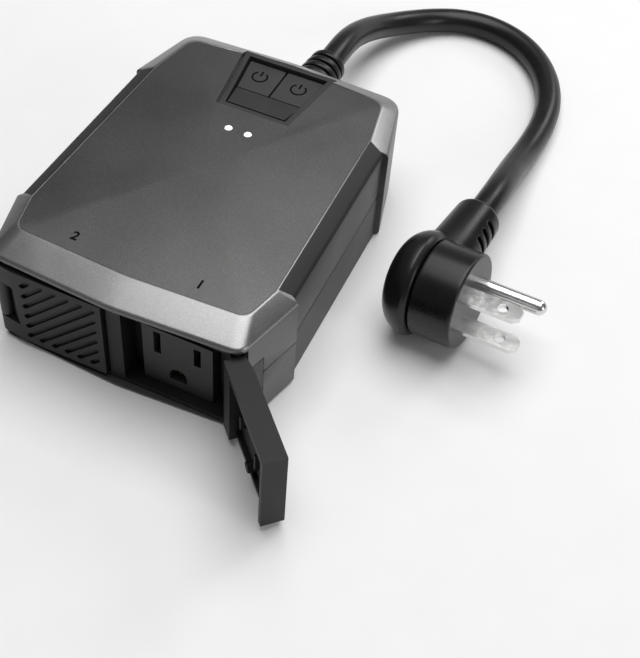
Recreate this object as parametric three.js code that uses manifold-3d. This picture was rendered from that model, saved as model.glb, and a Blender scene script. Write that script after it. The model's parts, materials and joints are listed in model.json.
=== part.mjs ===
// Outdoor smart plug: a flat case with two covered outlets at the front, two push buttons on top,
// and a short cord with a right-angle plug at the back.
// Millimetres. +X runs to the right along the front, -Y points to the front, +Z is up.
// The origin is the centre of the flat base.

import * as THREE from 'three';
import { mergeVertices } from 'three/addons/utils/BufferGeometryUtils.js';
import { ConvexGeometry } from 'three/addons/geometries/ConvexGeometry.js';
import Module from 'manifold-3d';

// ---------------------------------------------------------------- driving dimensions

// Case
const WIDTH = 91.6; // across the front bumpers
const DEPTH = 120.6; // front edge to back edge
const HEIGHT = 38.35;
const WALL = 2.4;
const SEAM_Z = 18.3; // height of the seam between the two shells
const CHAMFER_Z = 35.2; // lower edge of the chamfer round the top
const FRONT_CHAMFER = 9.6; // width of that chamfer seen from above, at the front
const SIDE_CHAMFER = 6;
const BACK_CHAMFER = 5.5;
const FRONT_BOW = 2.2; // how far the front edge bows forward in its middle
const BACK_NARROWING = 0.7; // the case is this much narrower on each side at the back
const RECESS = 1.6; // depth of the side recess between the bumpers
const FRONT_BUMPER = 25.3; // length of a bumper, measured from the front edge
const BACK_BUMPER = 28.2;
const BASE_CHAMFER = 1;
const PANEL = 1.2; // thickness of the top panel
const PANEL_RIM = 0.5; // flat rim of the shell outside the panel
const CEILING = 2.4; // shell thickness under the panel

// Fits
const GAP = 0.3; // clearance between fitted pieces
const SLIP = 0.15; // clearance of a close fit

// Outlet bays and covers
const POST = 4.8; // width of the post between the bays
const HINGE_INSET = 8; // hinge axis to the widest line of the case
const HINGE_BACK = 3.8; // hinge axis to the front edge
const BAY_FLOOR = 2.6;
const BAY_TOP = 32.6;
const BAY_DEPTH = 9.8; // front edge to the bottom of the channel round a receptacle
const FRAME_SKIN = 1.2; // floor and roof of the outlet frame
const FRAME_BACK = 4; // thickness of its rear wall
const FRAME_SETBACK = 2.4; // front edge of the case to the front of the frame
const COVER_SETBACK = 1; // front edge of the case to the face of a closed cover
const COVER_THICK = 6.8;
const COVER_SKIN = 2.2; // thickness of a cover's outer panel
const COVER_RIM = 1.8; // thickness of a cover's side walls
const COVER_SHOULDER = 6.2; // hinge axis to where a cover reaches its full thickness
const COVER_MARGIN = 2.6; // plain border round the grooves
const COVER_PLAY = 0.6; // play between a cover and its bay
const COVER_OPEN = 134; // degrees, the right cover as it stands
const BRACKET_LENGTH = 11.4; // front edge of the case to the back of a hinge bracket
const PIN_R = 1;
const KNUCKLE_R = 1.9;
const HINGE_ROOM_R = 3; // space that a cover's lugs turn in
const KNUCKLE_LOW = 9.8; // the fixed knuckle's lower end
const KNUCKLE_HIGH = 24.7;
const GROOVES = 11; // slanted grooves in each cover
const GROOVE_WIDTH = 1.5;
const GROOVE_DEPTH = 0.9;

// Receptacles, standard slot layout
const OUTLET_WIDTH = 22.4;
const OUTLET_HEIGHT = 23.5;
const OUTLET_SETBACK = 5.8; // front edge of the case to the receptacle face
const OUTLET_LENGTH = 17;
const OUTLET_INWARD = 2; // middle of a bay to the middle of its receptacle
const OUTLET_FACE = 2.5; // thickness of its front wall
const SLOT_PITCH = 12.7;
const SLOT_WIDTH = 2.2;
const HOT_SLOT = 7.3;
const NEUTRAL_SLOT = 8.9;
const GROUND_DROP = 11.9; // slots to ground hole
const GROUND_R = 2.8;
const CONTACT = 0.6; // sheet thickness of the contacts
const CONTACT_HALF = 2.1; // half the width of a folded blade contact

// Keypad
const KEYPAD_LENGTH = 29.3;
const KEYPAD_FRONT_WIDTH = 25;
const KEYPAD_BACK_WIDTH = 33.6;
const KEYPAD_BACK = 4.1; // back edge of the case to the recess
const KEYPAD_FLOOR = 33.2;
const KEYPAD_BEZEL = 2;
const KEYPAD_SLIT = 0.5; // open slit between the bezel and the ramp and buttons
const KEYPAD_DROP = 0.7; // top of the case to the top of the bezel
const RAMP_LENGTH = 12; // sloping front part of the keypad frame
const BUTTON_DROP = 2.1; // top of the case to a button's face
const BUTTON_THICK = 2;
const BUTTON_TRAVEL = 0.8;
const STEM_R = 1.8;
const STEM_X = 6.5; // middle of the keypad to a button's stem
const STEM_BEHIND = 8.5; // front edge of a button to its stem
const LENS_R = 1.25;
const LENS_PITCH = 6.7;
const LENS_AHEAD = 9.3; // keypad recess to the lenses

// Inside
const BOARD = 1.6; // thickness of the circuit board
const BOARD_Z = 12;
const BOARD_HALF_WIDTH = 27.5;
const BUTTON_BOARD_Z = 26;
const SCREW_R = 1.4;
const SCREW_HEAD_R = 2.7;
const BOSS_R = 3.8;

// Cord, strain relief and plug
const CORD_R = 4.6;
const GLAND_X = 3;
const GLAND_Z = 21;
const GLAND_LENGTH = 22; // outside the case
const GLAND_R = 6.6;
const GLAND_END_R = 5.5;
const GLAND_RINGS = 5;
const PLUG_TURN = -6.9; // degrees about Z
const PLUG_LEAN = 6; // degrees that the blades point up
const PLUG_FACE = new THREE.Vector3(85.4, 2, 0); // centre of the plug's face; its height is worked out
const BARREL_R = 15;
const BARREL_LENGTH = 13.6;
const CAP_BULGE = 1.6; // how far the cap stands proud of the barrel
const CAP_LENGTH = 10.5;
const NECK_R = 8.6;
const NECK_END_R = 7.6;
const NECK_BEHIND = 14.5; // neck axis to the plug's face
const NECK_LENGTH = 35.5; // from the plug's axis
const NECK_GROOVES = 3;
const BLADE_LENGTH = 17.6;
const BLADE_WIDTH = 6.35;
const BLADE_THICK = 1.5;
const BLADE_HOLE_R = 1.6;
const BLADE_ROOT = 3; // length held in the plug
const BLADE_OFFSET = 3.9; // plug axis to the line through the blades
const GROUND_PIN_R = 2.4;
const GROUND_PIN_LENGTH = 20.7;

// The cord's route from the strain relief to the plug, chosen by hand. It leaves level, sinks to the
// surface, lies there in one open loop and climbs to the plug's neck.
const CORD_ROUTE = [
  [3, 82.9, 21], [3, 90, 20.9], [2.9, 97.5, 20], [3, 105.5, 18], [3.8, 114, 15.1], [5.6, 122.5, 11.9],
  [8.9, 131, 8.9], [14, 139.3, 6.6], [21, 146.6, 5.2], [29.6, 151.6, 4.7], [39.4, 153.4, 4.62],
  [49.4, 151.8, 4.62], [58.8, 147, 4.62], [66.8, 139.4, 4.62], [72.8, 129.8, 4.62], [76.5, 119, 4.62],
  [78, 107.6, 4.8], [78, 96, 5.6], [77.4, 84.9, 7.2], [76.9, 74.2, 10], [76.8, 64, 13.1], [76.7, 54.7, 15.6],
  [76.2, 46.8, 16.7], [75.4, 39.4, 16.9],
];

// ---------------------------------------------------------------- derived places

const CAP_R = BARREL_R + CAP_BULGE;
const FRONT = -DEPTH / 2;
const BACK = DEPTH / 2;
const HALF = WIDTH / 2;
const HINGE = { x: HALF - HINGE_INSET, y: FRONT + HINGE_BACK };
const FRAME_FRONT = FRONT + FRAME_SETBACK;
const BAY_BACK = FRONT + BAY_DEPTH;
const FRAME_REAR = BAY_BACK + FRAME_BACK;
const FRAME_BOTTOM = BAY_FLOOR - FRAME_SKIN;
const FRAME_TOP = BAY_TOP + FRAME_SKIN;
const FRAME_HALF = HINGE.x - 0.5;
const FRAME_REAR_HALF = FRAME_HALF + 1.2; // the frame is wider behind the hinges
const COVER_FACE = FRONT + COVER_SETBACK;
const COVER_BOTTOM = BAY_FLOOR + COVER_PLAY / 2;
const COVER_TOP = BAY_TOP - COVER_PLAY / 2;
const COVER_FREE = POST / 2 + COVER_PLAY;
const OUTLET_Y = FRONT + OUTLET_SETBACK;
const OUTLET_X = (POST / 2 + HINGE.x) / 2 - OUTLET_INWARD;
const OUTLET_BOTTOM = BAY_FLOOR + GAP;
const SLOT_Z = OUTLET_BOTTOM + OUTLET_HEIGHT / 2 + GROUND_DROP / 2 - 0.2;
const CAVITY_TOP = HEIGHT - PANEL - CEILING;
const CAVITY_FRONT = FRAME_REAR + SLIP;
const KEYPAD_END = BACK - KEYPAD_BACK;
const KEYPAD_START = KEYPAD_END - KEYPAD_LENGTH;
const BUTTON_START = KEYPAD_START + RAMP_LENGTH;
const LENS_Y = KEYPAD_START - LENS_AHEAD;
const STEM_Y = BUTTON_START + STEM_BEHIND;
const BUTTON_TOP = HEIGHT - BUTTON_DROP;
const STEM_END = KEYPAD_FLOOR - 1.8;
const BOARD_FRONT = CAVITY_FRONT + 14;
const BOARD_BACK = BACK - 12;
const BOARD_TOP = BOARD_Z + BOARD + 0.1; // where components stand
const SCREWS = [
  [HALF - 11.8, CAVITY_FRONT + 9.4],
  [HALF - 13.8, BACK - 12.3],
  [-(HALF - 11.8), CAVITY_FRONT + 9.4],
  [-(HALF - 13.8), BACK - 12.3],
];

// ---------------------------------------------------------------- solids

const wasm = await Module();
wasm.setup();

/** Turns a closed three.js geometry into a solid whose faces point outwards. */
function solid(geometry) {
  const bare = geometry.clone();
  bare.deleteAttribute('normal');
  bare.deleteAttribute('uv');
  const merged = mergeVertices(bare, 1e-4);
  const vertices = merged.attributes.position.array;
  const corners = merged.index.array;
  const triangles = [];
  let volume = 0;
  const a = new THREE.Vector3();
  const b = new THREE.Vector3();
  const c = new THREE.Vector3();
  for (let i = 0; i < corners.length; i += 3) {
    const [p, q, r] = [corners[i], corners[i + 1], corners[i + 2]];
    if (p === q || q === r || r === p) continue;
    triangles.push(p, q, r);
    a.fromArray(vertices, 3 * p);
    b.fromArray(vertices, 3 * q);
    c.fromArray(vertices, 3 * r);
    volume += a.dot(b.cross(c));
  }
  if (volume < 0) triangles.reverse();
  return new wasm.Manifold(new wasm.Mesh({
    numProp: 3,
    vertProperties: Float32Array.from(vertices),
    triVerts: Uint32Array.from(triangles),
  }));
}

/** Joins any number of solids. */
function join(first, ...others) {
  return others.reduce((sum, other) => sum.add(other), first);
}

/** Cuts any number of solids out of the first. */
function cut(first, ...others) {
  return others.reduce((rest, other) => rest.subtract(other), first);
}

/** A box given by its limits along each axis. */
function block(x0, x1, y0, y1, z0, z1) {
  const box = new THREE.BoxGeometry(Math.abs(x1 - x0), Math.abs(y1 - y0), Math.abs(z1 - z0));
  return solid(box.translate((x0 + x1) / 2, (y0 + y1) / 2, (z0 + z1) / 2));
}

/** An upright cylinder. */
function rod(x, y, radius, z0, z1, sides = 24) {
  const drum = new THREE.CylinderGeometry(radius, radius, z1 - z0, sides);
  return solid(drum.rotateX(Math.PI / 2).translate(x, y, (z0 + z1) / 2));
}

/** A flat outline, a list of [x, y], carried up from z0 to z1. */
function prism(outline, z0, z1) {
  const shape = new THREE.Shape(outline.map(([x, y]) => new THREE.Vector2(x, y)));
  const bar = new THREE.ExtrudeGeometry(shape, { depth: z1 - z0, bevelEnabled: false });
  return solid(bar.translate(0, 0, z0));
}

/** The same, with the outline in the YZ plane carried along X. */
function prismX(outline, x0, x1) {
  const shape = new THREE.Shape(outline.map(([y, z]) => new THREE.Vector2(y, z)));
  const bar = new THREE.ExtrudeGeometry(shape, { depth: x1 - x0, bevelEnabled: false });
  return solid(bar.rotateX(Math.PI / 2).rotateZ(Math.PI / 2).translate(x0, 0, 0));
}

/** The same, with the outline in the XZ plane carried along Y. */
function prismY(outline, y0, y1) {
  const shape = new THREE.Shape(outline.map(([x, z]) => new THREE.Vector2(x, z)));
  const bar = new THREE.ExtrudeGeometry(shape, { depth: y1 - y0, bevelEnabled: false });
  return solid(bar.rotateX(Math.PI / 2).translate(0, y1, 0));
}

/** A turned profile, a list of [radius, distance along the axis], which starts and ends on the axis. */
function turned(profile, sides = 24) {
  return new THREE.LatheGeometry(profile.map(([r, t]) => new THREE.Vector2(r, t)), sides);
}

/** An outline through corners [x, y, radius], each rounded with an arc of that radius. */
function rounded(corners, steps = 5) {
  const outline = [];
  corners.forEach(([x, y, radius], i) => {
    const here = new THREE.Vector2(x, y);
    if (!radius) {
      outline.push([x, y]);
      return;
    }
    const before = corners[(i + corners.length - 1) % corners.length];
    const after = corners[(i + 1) % corners.length];
    const inward = new THREE.Vector2(before[0], before[1]).sub(here).normalize();
    const onward = new THREE.Vector2(after[0], after[1]).sub(here).normalize();
    const half = Math.acos(THREE.MathUtils.clamp(inward.dot(onward), -1, 1)) / 2;
    const reach = radius / Math.tan(half);
    const start = here.clone().addScaledVector(inward, reach);
    const end = here.clone().addScaledVector(onward, reach);
    const curve = new THREE.QuadraticBezierCurve(start, here, end);
    curve.getPoints(steps).forEach((p) => outline.push([p.x, p.y]));
  });
  return outline;
}

/** Adds the mirrored left half to the right half of a list of corners. The ends lie on x = 0. */
function bothHalves(right) {
  const left = right.slice(1, -1).reverse().map(([x, y, radius]) => [-x, y, radius]);
  return [...right, ...left];
}

/** A finish of the object. */
function finish(color, roughness, metalness = 0) {
  return new THREE.MeshStandardMaterial({ color, roughness, metalness });
}

const FINISH = {
  shell: finish(0x55575a, 0.42, 0.35),
  panel: finish(0x3a3b3e, 0.5, 0.25),
  black: finish(0x141416, 0.5),
  rubber: finish(0x1b1b1d, 0.75),
  cord: finish(0x101012, 0.45),
  lens: finish(0xf4f6f8, 0.25),
  nickel: finish(0xc9cbcf, 0.2, 1),
  brass: finish(0xb58b45, 0.35, 1),
  steel: finish(0x8d9096, 0.35, 1),
  board: finish(0x1c5a36, 0.6),
  dark: finish(0x26282b, 0.6),
  blue: finish(0x2a4d7a, 0.5),
  yellow: finish(0xc79a2e, 0.6),
};

const object = new THREE.Group();

/** Adds one named piece to a group. */
function piece(name, shape, material, group = object) {
  const mesh = shape.getMesh();
  const geometry = new THREE.BufferGeometry();
  geometry.setAttribute('position', new THREE.BufferAttribute(Float32Array.from(mesh.vertProperties), 3));
  geometry.setIndex(new THREE.BufferAttribute(Uint32Array.from(mesh.triVerts), 1));
  geometry.computeVertexNormals();
  const made = new THREE.Mesh(geometry, material);
  made.name = name;
  group.add(made);
  return made;
}

// ---------------------------------------------------------------- case outlines

/** The case seen from above, drawn in by `inset`; with `bumpers` false the side recess is filled. */
function caseOutline(inset = 0, bumpers = true) {
  const side = HALF - inset;
  const backSide = HALF - BACK_NARROWING - inset;
  const recess = bumpers ? [
    [side - RECESS, FRONT + FRONT_BUMPER + RECESS / 2, 0],
    [backSide - RECESS, BACK - BACK_BUMPER - RECESS / 2, 0],
  ] : [];
  return rounded(bothHalves([
    [0, FRONT + inset, 60],
    [HALF - 6.2 - inset * 0.8, FRONT + FRONT_BOW + inset, 5],
    [side, FRONT + FRONT_BUMPER, 0],
    ...recess,
    [backSide, BACK - BACK_BUMPER, 0],
    [HALF - 7.2 - inset * 0.8, BACK - 1.6 - inset, 8],
    [0, BACK - inset, 60],
  ]));
}

/** The top panel seen from above, drawn in by `inset`. */
function panelOutline(inset = 0) {
  const side = HALF - SIDE_CHAMFER - inset;
  return rounded(bothHalves([
    [0, FRONT + FRONT_CHAMFER + inset, 60],
    [side - 3, FRONT + FRONT_CHAMFER + 1.8 + inset, 4.5],
    [side, FRONT + FRONT_BUMPER - 1.5, 0],
    [side - BACK_NARROWING * 2, BACK - BACK_BUMPER + 1.5, 0],
    [side - 4.8, BACK - BACK_CHAMFER - 2.8 - inset, 5],
    [0, BACK - BACK_CHAMFER - inset, 60],
  ]));
}

/** The whole outside of the case: the outline carried up, under a hull that gives both chamfers. */
function caseBody() {
  const points = [];
  const lift = (outline, z) => outline.forEach(([x, y]) => points.push(new THREE.Vector3(x, y, z)));
  lift(caseOutline(BASE_CHAMFER, false), 0);
  lift(caseOutline(0, false), BASE_CHAMFER);
  lift(caseOutline(0, false), CHAMFER_Z);
  lift(panelOutline(), HEIGHT);
  return prism(caseOutline(), -1, HEIGHT + 1).intersect(solid(new ConvexGeometry(points)));
}

/** The keypad recess seen from above, drawn in by `inset` and cut short at `start`. */
function keypadOutline(inset = 0, start = KEYPAD_START + inset) {
  const slope = (KEYPAD_BACK_WIDTH - KEYPAD_FRONT_WIDTH) / 2 / KEYPAD_LENGTH;
  const halfAt = (y) => KEYPAD_FRONT_WIDTH / 2 + (y - KEYPAD_START) * slope - inset;
  const end = KEYPAD_END - inset;
  return [[-halfAt(start), start], [halfAt(start), start], [halfAt(end), end], [-halfAt(end), end]];
}

// ---------------------------------------------------------------- shells

/** The fixed hinge bracket seen from above, grown by `grow`. */
function bracketOutline(side, grow = 0) {
  const inner = HINGE.x - grow;
  const back = FRONT + BRACKET_LENGTH + grow;
  return [
    [inner, FRONT - 2], [HALF + 2, FRONT - 2], [HALF + 2, back],
    [inner + 4, back], [inner + 2.1, back - 4.2], [inner, back - 5.2],
  ].map(([x, y]) => [side * x, y]);
}

/** Everything that the shells make room for at the front: frame, hinges and brackets. */
function frontRoom() {
  const room = [
    block(-FRAME_HALF - GAP, FRAME_HALF + GAP, FRONT - 5, FRAME_REAR + SLIP,
      FRAME_BOTTOM - GAP, FRAME_TOP + GAP),
    block(-FRAME_REAR_HALF - GAP, FRAME_REAR_HALF + GAP, HINGE.y + HINGE_ROOM_R, FRAME_REAR + SLIP,
      FRAME_BOTTOM - GAP, FRAME_TOP + GAP),
  ];
  for (const side of [1, -1]) {
    room.push(rod(side * HINGE.x, HINGE.y, HINGE_ROOM_R, FRAME_BOTTOM, FRAME_TOP, 32));
    room.push(prism(bracketOutline(side, GAP), KNUCKLE_LOW - GAP, KNUCKLE_HIGH + GAP));
  }
  return room;
}

/** The hollow of the case, which stops behind the outlet frame and lies lower under the keypad. */
function cavity(z0, z1) {
  const hollow = prism(caseOutline(WALL + RECESS), z0, z1);
  const keypad = prism(keypadOutline(-WALL), KEYPAD_FLOOR - WALL, HEIGHT);
  return cut(hollow, block(-HALF, HALF, FRONT - 5, CAVITY_FRONT, z0 - 1, z1 + 1), keypad);
}

/** The groove for the gasket in the seam, or the gasket itself where `play` draws it in. */
function gasketRing(play = 0) {
  const outer = prism(caseOutline(WALL / 3 + RECESS + play), SEAM_Z - 1 + play, SEAM_Z + 1 - play);
  return cut(outer, prism(caseOutline(WALL * 0.75 + RECESS - play), SEAM_Z - 2, SEAM_Z + 2));
}

/** The hole for the strain relief, grown by `grow`, through the back wall. */
function glandRoom(grow) {
  const bore = new THREE.CylinderGeometry(GLAND_R - 0.7 + grow, GLAND_R - 0.7 + grow, 20, 24);
  return solid(bore.translate(GLAND_X, BACK, GLAND_Z));
}

const body = caseBody();
const room = frontRoom();
const gasket = gasketRing();
const bosses = SCREWS.map(([x, y]) => rod(x, y, BOSS_R, 1, CAVITY_TOP + 0.5));
const upper = block(-HALF - 5, HALF + 5, FRONT - 5, BACK + 5, SEAM_Z + SLIP, HEIGHT + 5);
const lower = block(-HALF - 5, HALF + 5, FRONT - 5, BACK + 5, -5, SEAM_Z - SLIP);

/** The upper casing, with pockets for the panel, the keypad, the lenses and the screw tips. */
function topShell() {
  const walls = cut(body, cavity(-1, CAVITY_TOP));
  const lenses = [-1, 1].map((side) => rod(side * LENS_PITCH / 2, LENS_Y, LENS_R + SLIP, 25, HEIGHT + 1));
  const stems = [-1, 1].map((side) => rod(side * STEM_X, STEM_Y, STEM_R + GAP, 25, HEIGHT));
  const pilots = SCREWS.map(([x, y]) => rod(x, y, SCREW_R + SLIP, 0, CAVITY_TOP - 3, 16));
  return cut(
    join(walls, ...bosses), ...room, gasket, glandRoom(GAP), ...lenses, ...stems, ...pilots,
    prism(panelOutline(PANEL_RIM), HEIGHT - PANEL, HEIGHT + 2),
    prism(keypadOutline(), KEYPAD_FLOOR, HEIGHT + 2),
  ).intersect(upper);
}

/** The lower casing, with screw bosses and four posts under the circuit board. */
function bottomShell() {
  const walls = cut(body, cavity(WALL, HEIGHT));
  const posts = [-1, 1].flatMap((side) => [BOARD_FRONT + 4, BOARD_BACK - 3].map((y) => (
    rod(side * (BOARD_HALF_WIDTH - 4.5), y, 2.4, 1, BOARD_Z - GAP, 16))));
  const shafts = SCREWS.map(([x, y]) => rod(x, y, SCREW_R + GAP, -1, HEIGHT, 16));
  const heads = SCREWS.map(([x, y]) => rod(x, y, SCREW_HEAD_R + GAP, -1, 4.5));
  return cut(join(walls, ...bosses, ...posts), ...room, gasket, glandRoom(GAP), ...shafts, ...heads)
    .intersect(lower);
}

piece('top_shell', topShell(), FINISH.shell);
piece('bottom_shell', bottomShell(), FINISH.shell);
piece('top_panel', cut(
  prism(panelOutline(PANEL_RIM + SLIP), HEIGHT - PANEL + 0.05, HEIGHT),
  prism(keypadOutline(-SLIP), KEYPAD_FLOOR, HEIGHT + 2),
  ...[-1, 1].map((side) => rod(side * LENS_PITCH / 2, LENS_Y, LENS_R + SLIP, 25, HEIGHT + 1)),
), FINISH.panel);

for (const [name, side] of [['case_gasket_right', 1], ['case_gasket_left', -1]]) {
  const half = block(side * GLAND_R * 1.6 + GLAND_X, side * (HALF + 5), FRAME_REAR + 1, BACK + 5, 0, HEIGHT);
  piece(name, cut(gasketRing(SLIP), ...bosses).intersect(half), FINISH.rubber);
}

SCREWS.forEach(([x, y], i) => {
  const screw = turned([
    [0, 2.4], [1.2, 2.4], [1.2, 2], [SCREW_HEAD_R, 2], [SCREW_HEAD_R, 4.2], [SCREW_R, 4.2],
    [SCREW_R, CAVITY_TOP - 4.5], [0, CAVITY_TOP - 3.5],
  ], 16);
  piece(`case_screw_${i + 1}`, solid(screw.rotateX(Math.PI / 2).translate(x, y, 0)), FINISH.steel);
});

// ---------------------------------------------------------------- outlet frame and hinges

/** The dark frame at the front: post, floor, roof, end walls and a rear wall with two windows. */
function outletFrame() {
  const rear = block(-FRAME_REAR_HALF, FRAME_REAR_HALF, HINGE.y + HINGE_ROOM_R + GAP, FRAME_REAR,
    FRAME_BOTTOM, FRAME_TOP);
  const front = block(-FRAME_HALF, FRAME_HALF, FRAME_FRONT, FRAME_REAR, FRAME_BOTTOM, FRAME_TOP);
  const cuts = [];
  for (const side of [1, -1]) {
    cuts.push(block(side * POST / 2, side * (HINGE.x + 0.3), FRONT - 5, BAY_BACK, BAY_FLOOR, BAY_TOP));
    cuts.push(rod(side * HINGE.x, HINGE.y, HINGE_ROOM_R, 0, HEIGHT, 32));
    const reach = OUTLET_WIDTH / 2 + GAP;
    cuts.push(block(side * OUTLET_X - reach, side * OUTLET_X + reach, FRONT, FRAME_REAR + 1,
      BAY_FLOOR, OUTLET_BOTTOM + OUTLET_HEIGHT + GAP));
  }
  return cut(join(rear, front), ...cuts);
}

piece('outlet_frame', outletFrame(), FINISH.black);

for (const [number, side] of [[1, 1], [2, -1]]) {
  const foot = prism(bracketOutline(side), KNUCKLE_LOW, KNUCKLE_HIGH).intersect(body);
  const knuckle = rod(side * HINGE.x, HINGE.y, KNUCKLE_R, KNUCKLE_LOW, KNUCKLE_HIGH);
  const bore = rod(side * HINGE.x, HINGE.y, PIN_R + SLIP, 0, HEIGHT, 16);
  piece(`hinge_bracket_${number}`, cut(join(foot, knuckle), bore), FINISH.shell);
  const pin = rod(side * HINGE.x, HINGE.y, PIN_R, COVER_BOTTOM + 0.4, COVER_TOP - 0.4, 16);
  piece(`hinge_pin_${number}`, pin, FINISH.steel);
}

// ---------------------------------------------------------------- covers

/** A cover as it lies when closed, seen from its hinge axis: local x = 0 and y = 0 are the axis. */
function cover(side) {
  const face = COVER_FACE - HINGE.y;
  const inner = face + COVER_THICK;
  const free = side * (COVER_FREE - HINGE.x);
  const shoulder = side * -COVER_SHOULDER;
  const end = side * -0.9;
  const cap = prism([[free, face], [shoulder, face], [end, 1.2], [end, inner], [free, inner]],
    COVER_BOTTOM, COVER_TOP);
  const lug = (z0, z1) => join(
    rod(0, 0, KNUCKLE_R, z0, z1),
    prism([
      [shoulder, face], [0, -KNUCKLE_R], [side * 0.6, -1.6], [0, KNUCKLE_R - 0.1],
      [end, inner - 2], [shoulder, inner - 2],
    ], z0, z1),
  );
  const hollow = block(free + side * COVER_RIM, shoulder, face + COVER_SKIN, inner + 1,
    COVER_BOTTOM + COVER_RIM, COVER_TOP - COVER_RIM);
  const notch = block(free + side * COVER_RIM, shoulder, OUTLET_Y - HINGE.y - GAP, inner + 1,
    COVER_BOTTOM - 1, COVER_BOTTOM + COVER_RIM + 1);
  const grooves = coverGrooves(side).map(([from, to]) => groove(from, to, face));
  return cut(
    join(cap, lug(COVER_BOTTOM, KNUCKLE_LOW - GAP), lug(KNUCKLE_HIGH + GAP, COVER_TOP)),
    rod(0, 0, KNUCKLE_R + GAP, KNUCKLE_LOW - GAP, KNUCKLE_HIGH + GAP),
    rod(0, 0, PIN_R + SLIP, 0, HEIGHT, 16),
    hollow, notch, ...grooves,
  );
}

/** Ends [x, z] of each slanted groove: lines at 45 degrees, clipped to the cover's face less a margin. */
function coverGrooves(side) {
  const low = COVER_BOTTOM + COVER_MARGIN;
  const tall = COVER_TOP - COVER_MARGIN - low;
  const across = HINGE.x - COVER_FREE - COVER_SHOULDER - 2 * COVER_MARGIN;
  const lines = [];
  for (let i = 0; i < GROOVES; i += 1) {
    const offset = ((across + tall) * (i + 0.5)) / GROOVES; // where the line would leave the face's floor
    const start = offset < across ? [offset, 0] : [across, offset - across];
    const stop = offset < tall ? [0, offset] : [offset - tall, tall];
    const toX = (u) => side * (COVER_FREE - HINGE.x + COVER_MARGIN + u);
    lines.push([[toX(start[0]), low + start[1]], [toX(stop[0]), low + stop[1]]]);
  }
  return lines;
}

/** One groove between two points of a cover's face, with round ends. */
function groove([x0, z0], [x1, z1], face) {
  const radius = GROOVE_WIDTH / 2;
  const angle = Math.atan2(z1 - z0, x1 - x0);
  const outline = [];
  for (const [x, z, turn] of [[x1, z1, -Math.PI / 2], [x0, z0, Math.PI / 2]]) {
    for (let i = 0; i <= 4; i += 1) {
      const a = angle + turn + (i * Math.PI) / 4;
      outline.push([x + radius * Math.cos(a), z + radius * Math.sin(a)]);
    }
  }
  return prismY(outline, face - 1, face + GROOVE_DEPTH);
}

/** The rubber seal in a cover: a plate with a raised edge and three stubs that enter the slots. */
function coverSeal(side) {
  const face = COVER_FACE - HINGE.y;
  const plateY = face + COVER_SKIN + SLIP;
  const near = side * (COVER_FREE - HINGE.x) + side * (COVER_RIM + GAP);
  const far = side * (-COVER_SHOULDER - GAP);
  const low = COVER_BOTTOM + COVER_RIM + GAP;
  const high = COVER_TOP - COVER_RIM - GAP;
  const outletX = side * (OUTLET_X - HINGE.x);
  const plate = block(near, far, plateY, plateY + 0.8, low, high);
  const tip = OUTLET_Y - HINGE.y + 1.2;
  const stub = (x, tall) => block(x - 0.6, x + 0.6, plateY + 0.4, tip, SLOT_Z - tall / 2, SLOT_Z + tall / 2);
  const round = new THREE.CylinderGeometry(1.7, 1.7, tip - plateY - 0.4, 16);
  const groundStub = solid(round.translate(outletX, (tip + plateY + 0.4) / 2, SLOT_Z - GROUND_DROP));
  return join(plate, stub(outletX - SLOT_PITCH / 2, 6), stub(outletX + SLOT_PITCH / 2, 5), groundStub);
}

for (const [number, side, turn] of [[1, 1, COVER_OPEN], [2, -1, 0]]) {
  const hinged = new THREE.Group();
  hinged.position.set(side * HINGE.x, HINGE.y, 0);
  hinged.rotation.z = THREE.MathUtils.degToRad(turn);
  piece(`cover_${number}`, cover(side), FINISH.black, hinged);
  piece(`cover_seal_${number}`, coverSeal(side), FINISH.rubber, hinged);
  object.add(hinged);
}

// ---------------------------------------------------------------- receptacles

/** The ground hole's outline in XZ: round above, flat below. */
function groundHole(x, z, grow = 0) {
  const radius = GROUND_R + grow;
  const outline = [[x - radius, z - radius * 0.8], [x + radius, z - radius * 0.8]];
  for (let i = 0; i <= 8; i += 1) {
    const a = (i * Math.PI) / 8;
    outline.push([x + radius * Math.cos(a), z + radius * Math.sin(a)]);
  }
  return outline;
}

/** A receptacle block with slots in its face, and chambers behind them that open to the back. */
function receptacle(x) {
  const back = OUTLET_Y + OUTLET_LENGTH;
  const half = OUTLET_WIDTH / 2;
  const top = OUTLET_BOTTOM + OUTLET_HEIGHT;
  const main = block(x - half, x + half, OUTLET_Y, back, OUTLET_BOTTOM, top);
  const flange = block(x - half - 1.5, x + half + 1.5, FRAME_REAR + SLIP, FRAME_REAR + 2,
    OUTLET_BOTTOM + 1, top + 1.5);
  const cuts = [];
  for (const [offset, tall] of [[-SLOT_PITCH / 2, NEUTRAL_SLOT], [SLOT_PITCH / 2, HOT_SLOT]]) {
    const opening = (halfWidth, halfHeight, y0, y1) => block(x + offset - halfWidth, x + offset + halfWidth,
      y0, y1, SLOT_Z - halfHeight, SLOT_Z + halfHeight);
    cuts.push(opening(SLOT_WIDTH / 2, tall / 2, OUTLET_Y - 1, back));
    cuts.push(opening(CONTACT_HALF + 0.5, tall / 2 + 0.8, OUTLET_Y + OUTLET_FACE, back + 1));
  }
  cuts.push(prismY(groundHole(x, SLOT_Z - GROUND_DROP), OUTLET_Y - 1, back));
  const depth = OUTLET_LENGTH - OUTLET_FACE + 1;
  const chamber = new THREE.CylinderGeometry(4, 4, depth, 20);
  cuts.push(solid(chamber.translate(x, back + 1 - depth / 2, SLOT_Z - GROUND_DROP)));
  return cut(join(main, flange), ...cuts);
}

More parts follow.
